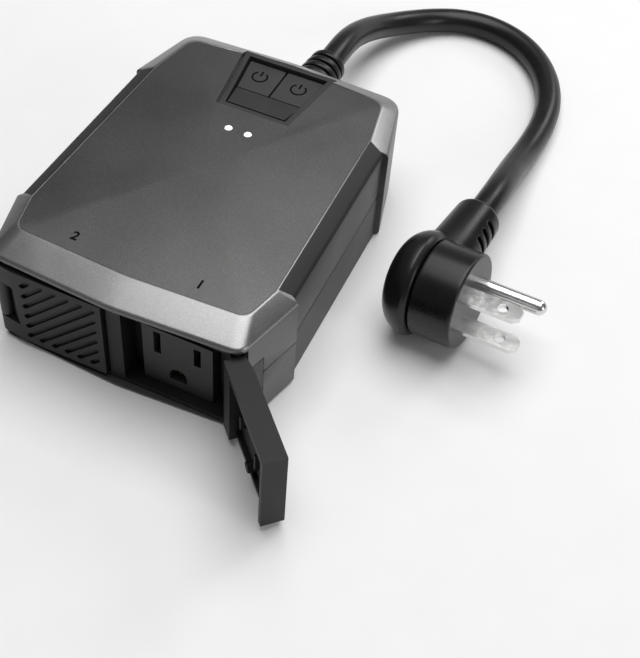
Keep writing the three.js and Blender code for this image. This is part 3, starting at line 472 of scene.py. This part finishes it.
def turned(name, profile, centre=(0, 0, 0), axis=2, sides=64):
    """A profile (radius, distance) turned about an axis: x = r cos a, y = r sin a, z = distance."""
    radius, along = np.asarray(profile, float).T
    angle = np.arange(sides) * 2 * np.pi / sides
    points = np.stack([radius[:, None] * np.cos(angle), radius[:, None] * np.sin(angle),
                       np.broadcast_to(along[:, None], (len(along), sides))], -1)
    points = np.roll(points, axis - 2, axis=-1) + np.asarray(centre, float)
    return closed_mesh(name, points, grid_faces(len(along), sides))


def rod(name, x, y, radius, low, high, sides=48):
    """An upright cylinder."""
    return turned(name, [(0, low), (radius, low), (radius, high), (0, high)], (x, y, 0), sides=sides)


def combine(piece, meshes, operation="DIFFERENCE"):
    """Cuts meshes out of a piece, or adds them to it, in one exact boolean."""
    group = bpy.data.collections.new("cutters")
    for mesh in meshes:
        group.objects.link(bpy.data.objects.new("cutter", mesh))
    cut = piece.modifiers.new("cut", "BOOLEAN")
    cut.operation, cut.solver, cut.operand_type, cut.collection = operation, "EXACT", "COLLECTION", group
    settle(piece)
    for cutter in list(group.objects):
        bpy.data.objects.remove(cutter)
    bpy.data.collections.remove(group)
    return piece


def settle(piece):
    """Applies a piece's modifiers: its mesh becomes the result."""
    bpy.context.view_layer.update()
    result = piece.evaluated_get(bpy.context.evaluated_depsgraph_get())
    mesh = bpy.data.meshes.new_from_object(result)
    piece.modifiers.clear()
    piece.data = mesh
    mesh.name = piece.name
    return piece


print("mesh helpers ready")

# %% [markdown]
# ## The case
# The case is two moulded shells that meet in a seam. Seen from above its outline bows forward,
# has bumpers at the four corners and a shallow recess along each side. Above a chamfer lies a
# smaller outline, that of the top panel. Each shell is one stack of rings, from the middle of its
# inside round the wall to the middle of its outside, and the corners of that profile are rounded
# so that they catch the light.

# %% The case's own sizes
HALF, FRONT, BACK = 45.8, -60.3, 60.3
HEIGHT, SEAM, CHAMFER = 38.35, 18.3, 35.2
FRONT_BUMPER, BACK_BUMPER, RECESS, RAMP = 25.3, 28.2, 1.6, 0.8
BOW_RADIUS, BEND_RADIUS = 60, 0.3  # of the bowed front and back, and of the small bends on the sides
CHAMFER_WIDTH = 6  # on the sides, seen from above
NARROW = 0.7  # the case is this much narrower on each side at the back
WALL, FIT, SLIP = 2.4, 0.3, 0.15
PANEL, RIM = 1.2, 0.5
INNER_TOP = 30.8


def outline(corners, steps=8):
    """A closed ring through the corners (x, y, z, radius) of its right half, mirrored to the left.

    Each corner becomes a parabola that starts radius / tan(half the corner's angle) before it.
    """
    right = np.asarray(corners, float)
    left = right[1:-1][::-1] * (-1, 1, 1, 1)
    corners = np.vstack([right, left])
    here, radius = corners[:, :3], corners[:, 3:]
    back = np.roll(here, 1, axis=0) - here
    on = np.roll(here, -1, axis=0) - here
    back /= np.linalg.norm(back, axis=1, keepdims=True)
    on /= np.linalg.norm(on, axis=1, keepdims=True)
    half = np.arccos(np.clip((back * on).sum(1), -1, 1)) / 2
    reach = radius / np.tan(np.clip(half, 0.05, 1.56))[:, None]
    t = np.linspace(0, 1, steps + 1)[None, :, None]
    arc = ((1 - t) ** 2 * (here + back * reach)[:, None] + 2 * t * (1 - t) * here[:, None]
           + t ** 2 * (here + on * reach)[:, None])
    return arc.reshape(-1, 3)


def case_ring(z, inset=0.0, recess=RECESS, on_chamfer=False):
    """The case's outline at a height. On the chamfer the recessed sides climb to where they meet it."""
    side, back_side = HALF - inset, HALF - NARROW - inset
    climb = recess / CHAMFER_WIDTH * (HEIGHT - CHAMFER) if on_chamfer else 0
    return outline([
        (0, FRONT + inset, z, BOW_RADIUS),
        (HALF - 6.2 - inset * 0.8, FRONT + 2.2 + inset, z, 5),
        (side, FRONT + FRONT_BUMPER, z, BEND_RADIUS),
        (side - recess, FRONT + FRONT_BUMPER + RAMP, z + climb, BEND_RADIUS),
        (back_side - recess, BACK - BACK_BUMPER - RAMP, z + climb, BEND_RADIUS),
        (back_side, BACK - BACK_BUMPER, z, BEND_RADIUS),
        (HALF - 7.2 - inset * 0.8, BACK - 1.6 - inset, z, 8),
        (0, BACK - inset, z, BOW_RADIUS),
    ])


def panel_ring(z, inset=0.0):
    """The top panel's outline, with the same count of corners as the case's."""
    side = HALF - CHAMFER_WIDTH - inset
    back_side = side - 2 * NARROW
    front_bend, back_bend = FRONT + FRONT_BUMPER - 1.5, BACK - BACK_BUMPER + 1.5
    return outline([
        (0, FRONT + 9.6 + inset, z, BOW_RADIUS),
        (side - 3, FRONT + 11.4 + inset, z, 4.5),
        (side, front_bend, z, BEND_RADIUS),
        (side, front_bend + RAMP, z, BEND_RADIUS),
        (back_side, back_bend - RAMP, z, BEND_RADIUS),
        (back_side, back_bend, z, BEND_RADIUS),
        (side - 4.8, BACK - 8.3 - inset, z, 5),
        (0, BACK - 5.5 - inset, z, BOW_RADIUS),
    ])


def pole(ring, z):
    """A ring shrunk to one point over the middle."""
    return ring * (0, 0, 0) + (0, 0, z)


def stack(name, rings, reach):
    """A closed mesh from a stack of rings, its profile's corners rounded by these reaches."""
    rings = soft_corners(np.stack(rings), reach)
    return closed_mesh(name, rings, grid_faces(*rings.shape[:2]))


print("case ring points:", len(case_ring(0)))

# %% What is cut out of the shells
HINGE_X, HINGE_Y = 37.8, -56.5
FRAME_BOTTOM, FRAME_TOP, FRAME_REAR = 1.4, 33.8, -46.5
KNUCKLE_LOW, KNUCKLE_HIGH = 9.8, 24.7
SCREWS = [(34.0, -36.95), (32.0, 48.0), (-34.0, -36.95), (-32.0, 48.0)]
LENS_X, LENS_Y, LENS_RADIUS = 3.35, 17.6, 1.25
GLAND = (3, BACK, 21)
GLAND_HOLE_RADIUS = 6.2
KEYPAD_START, KEYPAD_END = BACK - 4.1 - 29.3, BACK - 4.1
KEYPAD_HALF, KEYPAD_SPREAD = 12.5, 4.3  # half its width at the start, and what each side gains by the end
KEYPAD_FLOOR = 33.2
BUTTON_X, BUTTON_DROP = 7.0, 2.1  # the power signs' places, and how far the buttons lie below the top
BOSS_RADIUS, POST_RADIUS, POST_TOP = 3.8, 2.4, 11.7
POSTS = [(x, y) for x in (23, -23) for y in (-28.35, 45.3)]


def bracket_plan(side, grow):
    """The fixed hinge bracket seen from above, grown a little all round."""
    inner, front = HINGE_X - grow, FRONT - 2
    return [(side * inner, front), (side * (HALF + 2), front), (side * (HALF + 2), FRONT + 11.4 + grow),
            (side * (inner + 4), FRONT + 11.4 + grow), (side * (inner + 2.1), FRONT + 7.2 + grow),
            (side * inner, FRONT + 6.2 + grow)]


def front_room():
    """Room for the outlet frame, the hinges and their brackets."""
    low, high = FRAME_BOTTOM - FIT, FRAME_TOP + FIT
    reach = HINGE_X - 0.5 + FIT
    cutters = [box("room", -reach, reach, FRONT - 5, FRAME_REAR + SLIP, low, high),
               box("room", -HINGE_X - 1, HINGE_X + 1, HINGE_Y + 3, FRAME_REAR + SLIP, low, high)]
    for side in (1, -1):
        cutters.append(rod("room", side * HINGE_X, HINGE_Y, 3, FRAME_BOTTOM, FRAME_TOP))
        cutters.append(prism("room", bracket_plan(side, FIT), KNUCKLE_LOW - FIT, KNUCKLE_HIGH + FIT))
    return cutters


def gland_hole():
    """The round hole for the strain relief, through the back wall."""
    profile = [(0, -10), (GLAND_HOLE_RADIUS, -10), (GLAND_HOLE_RADIUS, 10), (0, 10)]
    return turned("hole", profile, GLAND, axis=1, sides=48)


def cad_copy(node, flats=0.5):
    """A copy of a CAD node's mesh with its loose triangles merged and its flats joined."""
    mesh = nodes[node].data.copy()
    mesh.materials.clear()
    return tidy_mesh(mesh, flats)


def keypad_half(y):
    """Half the width of the keypad recess: it grows evenly towards the back."""
    return KEYPAD_HALF + (y - KEYPAD_START) * KEYPAD_SPREAD / (KEYPAD_END - KEYPAD_START)


def keypad_plan(inset=0.0):
    """The keypad recess seen from above: a trapezoid, wider at the back."""
    start, end = KEYPAD_START + inset, KEYPAD_END - inset
    near, far = keypad_half(start) - inset, keypad_half(end) - inset
    return [(-near, start), (near, start), (far, end), (-far, end)]


def lens_holes():
    """The two round holes for the lenses."""
    return [rod("hole", side * LENS_X, LENS_Y, LENS_RADIUS + SLIP, 25, HEIGHT + 2) for side in (1, -1)]


# %% Top shell
# the shell's tones by material index: its paint, the dark inlay, painted shade on the recess walls, a painted
# highlight on the chamfer
SHELL_PAINTS = ("shell_grey", "side_plastic", "recess_shade_grey", "chamfer_highlight_grey")


def top_shell():
    """Inside ceiling, inner wall, seam, outer wall, chamfer, rim, pocket for the panel."""
    low = SEAM + SLIP
    inner = case_ring(low, WALL + RECESS, 0)
    rings = [
        pole(inner, INNER_TOP), case_ring(INNER_TOP, WALL + RECESS, 0), inner, case_ring(low),
        case_ring(CHAMFER, on_chamfer=True), panel_ring(HEIGHT), panel_ring(HEIGHT, RIM),
        panel_ring(HEIGHT - PANEL, RIM), pole(inner, HEIGHT - PANEL),
    ]
    mesh = stack("top_shell_skin", rings, [1, 1, 0.25, 1.1, 0.7, 0.05, 0.1])
    shell = add_object("top_shell_skin", mesh, *SHELL_PAINTS)
    cutters = front_room() + [gland_hole(), cad_copy("case_gasket_left"), cad_copy("case_gasket_right"),
                              prism("pocket", keypad_plan(), KEYPAD_FLOOR, HEIGHT + 2)] + lens_holes()
    cutters += [rod("hole", side * 6.5, 47.4, 2.1, 25, HEIGHT) for side in (1, -1)]
    combine(shell, cutters)
    return dress(shell, "case", "shell_grey", "top_shell")


def paint_shell(shell):
    """A painted highlight on the chamfer, a dark inlay on its recessed sides and painted shade, a darker
    tone, on their walls.
    """
    polygons = shell.data.polygons
    centre, normal = np.zeros(len(polygons) * 3), np.zeros(len(polygons) * 3)
    polygons.foreach_get("center", centre)
    polygons.foreach_get("normal", normal)
    centre, normal = centre.reshape(-1, 3) / MM, normal.reshape(-1, 3)
    between = (centre[:, 1] > FRONT + FRONT_BUMPER + 0.2) & (centre[:, 1] < BACK - BACK_BUMPER - 0.2)
    side = between & (np.abs(normal[:, 0]) > 0.2) & (np.abs(centre[:, 0]) > HALF - 9)
    sloping = (normal[:, 2] > 0.2) & (centre[:, 2] > CHAMFER - 0.6)
    # 1: dark inlay, 2: painted shade on the recess walls, 3: painted highlight on the upward-sloping chamfer
    #    faces
    index = np.select([side & sloping, side, sloping], [1, 2, 3], 0)
    polygons.foreach_set("material_index", index.astype(np.int32))
    return np.bincount(index, minlength=4).tolist()


shell = top_shell()
print("top shell faces: bumper, inlay, recess, chamfer:", paint_shell(shell))


# %% Bottom shell
def bottom_shell():
    """Outside base, chamfer, outer wall, seam, inner wall and floor, with bosses for the screws."""
    high = SEAM - SLIP
    inner = case_ring(high, WALL + RECESS, 0)
    rings = [
        pole(inner, 0), case_ring(0, 1, RECESS - 1), case_ring(1), case_ring(high), inner,
        case_ring(WALL, WALL + RECESS, 0), pole(inner, WALL),
    ]
    mesh = stack("bottom_shell_skin", rings, [0.3, 0.6, 0.25, 0.2, 1])
    shell = add_object("bottom_shell_skin", mesh, *SHELL_PAINTS)
    bosses = [rod("boss", x, y, BOSS_RADIUS, 1, high - 0.2) for x, y in SCREWS]
    bosses += [rod("post", x, y, POST_RADIUS, 1, POST_TOP) for x, y in POSTS]
    combine(shell, bosses, "UNION")
    cutters = front_room() + [gland_hole(), cad_copy("case_gasket_left"), cad_copy("case_gasket_right")]
    cutters += [turned("hole", [(0, -1), (3, -1), (3, 4.5), (1.7, 4.5), (1.7, 30), (0, 30)], (x, y, 0))
                for x, y in SCREWS]
    combine(shell, cutters)
    return dress(shell, "case", "shell_grey", "bottom_shell")


print("bottom shell faces: bumper, inlay, recess, chamfer:", paint_shell(bottom_shell()))


# %% Top panel
def top_panel():
    """A flat plate with a rounded upper edge, cut out for the keypad and the two lenses."""
    gap = 0.05
    low, inset = HEIGHT - PANEL + gap, RIM + gap
    ring = panel_ring(HEIGHT, inset)
    rings = [pole(ring, low), panel_ring(low, inset), ring, pole(ring, HEIGHT)]
    panel = add_object("top_panel_skin", stack("top_panel_skin", rings, [0.1, 0.12]), "panel_dark")
    combine(panel, [prism("pocket", keypad_plan(-SLIP), 33, HEIGHT + 2)] + lens_holes())
    return dress(panel, "case", "panel_dark", "top_panel")


print("top panel faces:", len(top_panel().data.polygons))

# %% [markdown]
# ## Flat pieces with softened edges
# Covers, outlet frame, receptacles, hinge brackets, keypad, seals and blades are made of flats. No
# edge is perfectly sharp, and the narrow highlight along it is what makes a render look real. They
# could be modelled again, but their shape is right already: a copy of the CAD node is merged, its
# flats are joined, and a Bevel modifier rounds the edges. A Weighted Normal modifier then lets the
# large faces set the shading, so that flats stay flat right up to their rounded edges.

# %% Softened copies
def softened(node, finish, width, sharp=30, segments=2):
    """Stands for a CAD node with a copy whose edges are rounded by this many millimetres."""
    piece = add_object(node + "_skin", cad_copy(node), finish)
    bevel = piece.modifiers.new("bevel", "BEVEL")
    bevel.width, bevel.segments, bevel.angle_limit = width * MM, segments, math.radians(sharp)
    bevel.use_clamp_overlap, bevel.harden_normals = True, False
    settle(piece)
    body = next(b for b in frame["bodies"] if node in frame["record"]["behaviour"]["bodies"][b])
    dress(piece, body, slot_of[node], node, sharp=60)
    weighted = piece.modifiers.new("weighted", "WEIGHTED_NORMAL")
    weighted.keep_sharp, weighted.weight = True, 100
    return settle(piece)


SOFTENED = {
    "outlet_frame": 0.3, "receptacle_1": 0.25, "receptacle_2": 0.25, "hinge_bracket_1": 0.25,
    "hinge_bracket_2": 0.25, "cover_1": 0.3, "cover_2": 0.3, "cover_seal_1": 0.15, "cover_seal_2": 0.15,
    "keypad_frame": 0.3, "button_1": 0.35, "button_2": 0.35, "hot_blade": 0.25, "neutral_blade": 0.25,
}
OTHER_FINISH = {  # where a piece's finish is not that of its material slot
    # the hinge brackets wear the darker copy of the shell paint, painted shade
    "hinge_bracket_1": "recess_shade_grey", "hinge_bracket_2": "recess_shade_grey", "keypad_frame": "keypad_grey",
    "receptacle_1": "keypad_grey", "receptacle_2": "keypad_grey",
}
for node, width in SOFTENED.items():
    piece = softened(node, OTHER_FINISH.get(node, slot_of[node]), width)
    print(node, "faces:", len(piece.data.polygons))

# %% [markdown]
# ## Strain relief
# A rubber sleeve with five rings keeps the cord from kinking at the wall. Separate rings could be
# threaded on a tube, but the real one is moulded in one, so it is one turned profile: a flange
# inside the wall, a waist in the hole, a collar outside it and rings that get smaller.

# %% Strain relief
RINGS, RING_PITCH, RING_GROOVE = 5, 3.8, 1.9
RING_FIRST, RING_LAST = 7.9, 6.6  # radius of the ring at the wall and of the one at the end
RELIEF_COLLAR, RELIEF_END, RELIEF_LENGTH = 2.2, 5.5, 22


def strain_relief():
    """Radius against distance from the wall: five rings, each a little smaller than the last."""
    profile = [(0, -6.4), (8.2, -6.4), (8.2, -5.2), (5.9, -5.2), (5.9, FIT), (8.0, FIT), (8.0, RELIEF_COLLAR)]
    for i in range(RINGS):
        at = RELIEF_COLLAR + i * RING_PITCH
        radius = RING_FIRST - (RING_FIRST - RING_LAST) * i / (RINGS - 1)
        profile += [(radius - RING_GROOVE, at + 0.1), (radius - RING_GROOVE, at + 1.2),
                    (radius, at + 1.4), (radius, at + RING_PITCH - 0.1)]
    profile += [(RELIEF_END, RELIEF_LENGTH), (0, RELIEF_LENGTH)]
    profile = soft_corners(profile, [0.4] * (len(profile) - 2), 3)
    mesh = turned("strain_relief_skin", profile, GLAND, axis=1, sides=72)
    relief = add_object("strain_relief_skin", mesh, "cord_jacket")
    return dress(relief, "case", "cord_jacket", "strain_relief")


print("strain relief faces:", len(strain_relief().data.polygons))

# %% [markdown]
# ## Plug
# The plug is moulded in two: a body with the blades' face and the neck that the cord enters, and
# a bulged cap behind. Both are turned shapes. The body is two of them joined, and a fine remesh
# with some smoothing gives the soft inner corner that moulded vinyl has where they meet.

# %% The plug's own frame
PLUG_TURN, PLUG_LEAN = math.radians(-6.9), math.radians(6)
PLUG_X, PLUG_Y = 85.4, 2.0  # the middle of the plug's face
BARREL, BARREL_END = 15.0, -13.6
CAP, CAP_START, CAP_LENGTH, CAP_BULGE = 16.6, -13.9, 10.5, 8.6
NECK_AXIS = -14.5  # along X, from the plug's face
NECK_RADIUS, NECK_END_RADIUS, NECK_LENGTH = 8.6, 7.6, 35.5


def plug_place():
    """Turn about Z, then lean about Y: +X runs along the blades, +Y to the neck, +Z up."""
    c, s = math.cos(PLUG_TURN), math.sin(PLUG_TURN)
    turn = np.array([(c, -s, 0), (s, c, 0), (0, 0, 1)])
    c, s = math.cos(PLUG_LEAN), math.sin(PLUG_LEAN)
    lean = np.array([(c, 0, -s), (0, 1, 0), (s, 0, c)])
    widest = 2 - CAP_START  # how far behind the face the cap has its full radius
    height = widest * math.sin(PLUG_LEAN) + CAP * math.cos(PLUG_LEAN) + 0.25
    matrix = np.eye(4)
    matrix[:3, :3] = turn @ lean
    matrix[:3, 3] = np.array([PLUG_X, PLUG_Y, height]) * MM
    return Matrix(matrix.tolist())


def neck_profile(grow=0.0):
    """The neck's radius against its distance from the plug's axis: a slow taper with a rounded end."""
    r, end, top = NECK_RADIUS + grow, NECK_END_RADIUS + grow, NECK_LENGTH + grow
    return soft_corners([(0, 0), (r, 0), (r, BARREL), (end, top), (0, top)], [0.1, 4, 1.8], 6)


# %% Plug body and cap
def plug_body():
    """Barrel and neck joined, three strain grooves cut in the neck, then remeshed and smoothed."""
    profile = soft_corners([(0, 0), (BARREL, 0), (BARREL, BARREL_END), (0, BARREL_END)], [0.7, 0.3], 4)
    body = add_object("plug_body_skin", turned("barrel", profile, axis=0, sides=128), "plug_vinyl")
    neck = add_object("neck", turned("neck", neck_profile(), (NECK_AXIS, 0, 0), axis=1, sides=96))
    combine(neck, [box("behind", -50, BARREL_END, -20, BARREL - 3, -20, 20)])
    combine(body, [neck.data], "UNION")
    bpy.data.objects.remove(neck)
    combine(body, [box("groove", -9.3, 0, y, y + 1.8, -5.2, 5.2) for y in (20.5, 24.5, 28.5)])
    remesh = body.modifiers.new("remesh", "REMESH")
    remesh.mode, remesh.voxel_size = "VOXEL", 0.32 * MM
    smooth = body.modifiers.new("smooth", "SMOOTH")
    smooth.factor, smooth.iterations = 0.5, 5
    settle(body)
    body.data.transform(plug_place())
    return dress(body, "case", "cord_jacket", "plug_body", sharp=180)


def plug_cap():
    """The bulged cap: a quarter ellipse from its rim to its flat back, cut out for the neck."""
    angle = np.linspace(0.15, np.pi / 2, 14)
    bulge = np.c_[CAP - CAP_BULGE * (1 - np.cos(angle)), CAP_START - 2 - (CAP_LENGTH - 2) * np.sin(angle)]
    start = [(0, CAP_START), (BARREL - 0.2, CAP_START), (CAP - 0.9, CAP_START - 0.3), (CAP, CAP_START - 1.8)]
    profile = soft_corners(np.vstack([start, bulge, [(0, CAP_START - CAP_LENGTH)]]), [0.4] * 17, 3)
    cap = add_object("plug_cap_skin", turned("cap", profile, axis=0, sides=128), "plug_vinyl")
    neck = add_object("neck", turned("neck", neck_profile(FIT), (NECK_AXIS, 0, 0), axis=1, sides=96))
    combine(neck, [box("front", -50, 30, -20, BARREL - 3 - FIT, -30, 30)])
    combine(cap, [neck.data])
    bpy.data.objects.remove(neck)
    cap.data.transform(plug_place())
    return dress(cap, "case", "cord_jacket", "plug_cap")


plug_pieces = [plug_body(), plug_cap()]
print("plug faces:", [len(p.data.polygons) for p in plug_pieces])


# %% Ground pin
PIN_RADIUS, PIN_ROOT, PIN_LENGTH = 2.4, 3, 20.7


def ground_pin():
    """A round pin with a domed tip, turned about the plug's X axis, 8 mm from the middle."""
    angle = np.linspace(0, np.pi / 2, 9)
    dome = np.c_[PIN_RADIUS * np.cos(angle), PIN_LENGTH - PIN_RADIUS * (1 - np.sin(angle))]
    profile = np.vstack([[(0, -PIN_ROOT), (PIN_RADIUS, -PIN_ROOT)], dome])
    mesh = turned("ground_pin_skin", profile, (0, 8.0, 0), axis=0, sides=48)
    mesh.transform(plug_place())
    return dress(add_object("ground_pin_skin", mesh, "nickel_plate"), "case", "nickel_plate", "ground_pin")


plug_pieces += [ground_pin(), bpy.data.objects["hot_blade_skin"], bpy.data.objects["neutral_blade_skin"]]
print("pieces on the cord:", [p.name for p in plug_pieces])

# %% [markdown]
# ## Lenses and marks
# Two frosted lenses show each outlet's state. The buttons carry a printed power sign, and the
# digits 1 and 2 are printed next to the outlets. A mask in the material could draw them, but a thin
# mesh of its own keeps a crisp edge at any distance, so each mark is one.

# %% Lenses
def lens(number, side):
    """A light guide with a slightly crowned end, flush with the panel."""
    low, crown = 29, HEIGHT + 0.04
    profile = [(0, low), (LENS_RADIUS, low), (LENS_RADIUS, crown - 0.14), (0.6, crown - 0.02), (0, crown)]
    profile = soft_corners(profile, [0.1, 0.2, 0.3], 3)
    mesh = turned("indicator_lens", profile, (side * LENS_X, LENS_Y, 0), sides=40)
    piece = add_object(f"indicator_lens_{number}_skin", mesh, "lens_white")
    return dress(piece, "case", "lens_white", f"indicator_lens_{number}")


lenses = [lens(1, 1), lens(2, -1)]
print("lenses:", [p.name for p in lenses])


# %% Strokes
def stroke(name, line, width, low, high):
    """A flat band along a line in the plan: the line shifted to both sides by half its width."""
    line = np.asarray(line, float)
    along = np.gradient(line, axis=0)
    along /= np.linalg.norm(along, axis=1, keepdims=True)
    across = np.c_[-along[:, 1], along[:, 0]] * width / 2
    rim = np.vstack([line + across, (line - across)[::-1]])
    return prism(name, rim, low, high)


def joined(name, meshes, finish):
    """Several meshes as one object."""
    work = bmesh.new()
    for mesh in meshes:
        work.from_mesh(mesh)
    whole = bpy.data.meshes.new(name)
    work.to_mesh(whole)
    work.free()
    return add_object(name, whole, finish)


def power_sign(number, side):
    """An open ring, from 38 to 322 degrees clockwise from the back, and a short bar."""
    x, y, radius = side * BUTTON_X, 46.9, 2.5
    angle = np.radians(np.linspace(38, 322, 48))
    ring = np.c_[x + radius * np.sin(angle), y + radius * np.cos(angle)]
    bar = [(x, y + 0.4), (x, y + 1.6), (x, y + 2.9)]
    top = HEIGHT - BUTTON_DROP
    meshes = [stroke("sign", line, 0.6, top - 0.1, top + 0.06) for line in (ring, bar)]
    sign = joined(f"power_sign_{number}", meshes, "ink_black")
    return dress(sign, f"button_{number}", "button_rubber")


for number, side in ((1, 1), (2, -1)):
    power_sign(number, side)
print("power signs on both buttons")


# %% Digits
def digit(text, x, y, size=4.5):
    """One printed digit: text made a mesh, laid on the panel."""
    curve = bpy.data.curves.new("digit_" + text, "FONT")
    curve.body, curve.size, curve.extrude, curve.offset = text, size * MM, 0.03 * MM, 0.12 * MM
    curve.align_x, curve.align_y = "CENTER", "CENTER"
    holder = bpy.data.objects.new("digit_" + text, curve)
    bpy.context.scene.collection.objects.link(holder)
    bpy.context.view_layer.update()
    mesh = bpy.data.meshes.new_from_object(holder.evaluated_get(bpy.context.evaluated_depsgraph_get()))
    bpy.data.objects.remove(holder)
    mesh.transform(Matrix.Translation((x * MM, y * MM, (HEIGHT + 0.02) * MM)))
    mesh.materials.clear()
    return dress(add_object("digit_" + text, mesh, "ink_black"), "case", "panel_dark")


digits = [digit("1", 19.9, -43.9), digit("2", -19.9, -43.9)]
print("digits:", [d.name for d in digits])

# %% [markdown]
# ## The cord
# A tube along the cord's line stands for the CAD cord; it leaves the strain relief and ends at the
# plug's neck.

# %% The cord's skin
def power_cord():
    """The tube along the cord's line."""
    rings = tube(cord_line, CORD_RADIUS)
    skin = closed_mesh("power_cord_skin", rings, grid_faces(*rings.shape[:2]))
    piece = add_object("power_cord_skin", skin, "cord_jacket")
    return dress(piece, "case", "cord_jacket", "power_cord", sharp=60)


cord = power_cord()
print("cord declared with", len(plug_pieces), "pieces")

# %% [markdown]
# ## Stage and light
# A pale floor that curves up behind the object and an even pale world. A broad soft light above is
# mirrored by the front chamfer and shades the top panel from front to back. A light behind draws the
# right-hand chamfer, and one on the right puts a sheen on the plug and the cord.

# %% Floor
def open_sheet(name, grid):
    """An open sheet over a grid of points in metres, facing up."""
    mesh = bpy.data.meshes.new(name)
    faces = grid_faces(grid.shape[0], grid.shape[1], wrap=False)
    mesh.from_pydata(grid.reshape(-1, 3).tolist(), [], faces.tolist())
    mesh.shade_smooth()
    return mesh


def add_floor():
    """A square sheet, level near the object and rising behind it: height = (distance past 0.9 m)^2 / 2."""
    steps = np.linspace(-3, 3, 61)
    x, y = np.meshgrid(steps, steps, indexing="xy")
    z = np.clip(y - 0.9, 0, None) ** 2 / 2
    mesh = open_sheet("floor", np.stack([x, y, z], -1))
    made = Finish("floor_paper", Specular_IOR_Level=0.2)
    fibre = made.node("ShaderNodeTexNoise", None, {"Vector": made.place, "Scale": 60.0, "Detail": 3.0})
    made.shade(Base_Color=made.between(fibre, *greys(0.86, 0.90)), Roughness=fibre * 0.1 + 0.7)
    floor = bpy.data.objects.new("floor", mesh)
    bpy.context.scene.collection.objects.link(floor)
    mesh.materials.append(made.material)
    return floor


def add_light(name, place, aim, size, watts):
    """A square area light that faces a point."""
    data = bpy.data.lights.new(name, "AREA")
    data.shape, data.size, data.size_y, data.energy = "RECTANGLE", size[0], size[1], watts
    light = bpy.data.objects.new(name, data)
    bpy.context.scene.collection.objects.link(light)
    light.location = place
    light.rotation_mode = "QUATERNION"
    light.rotation_quaternion = (light.location - Vector(aim)).to_track_quat("Z", "Y")
    return light


floor = add_floor()
add_light("softbox_above", (0.03, 0.28, 1.2), (0.03, 0.28, 0), (0.95, 1.3), 15)
add_light("softbox_back", (0.5, 1.3, 0.9), (0.05, 0.05, 0), (0.5, 0.5), 4)
add_light("softbox_right", (1.3, -0.3, 0.5), (0, 0, 0.02), (0.3, 0.7), 3)
world = bpy.data.worlds.new("studio")
bpy.context.scene.world = world
world.use_nodes = True
world.node_tree.nodes["Background"].inputs["Color"].default_value = (1, 1, 1, 1)
world.node_tree.nodes["Background"].inputs["Strength"].default_value = 0.16
bpy.context.scene.view_settings.view_transform = "Standard"
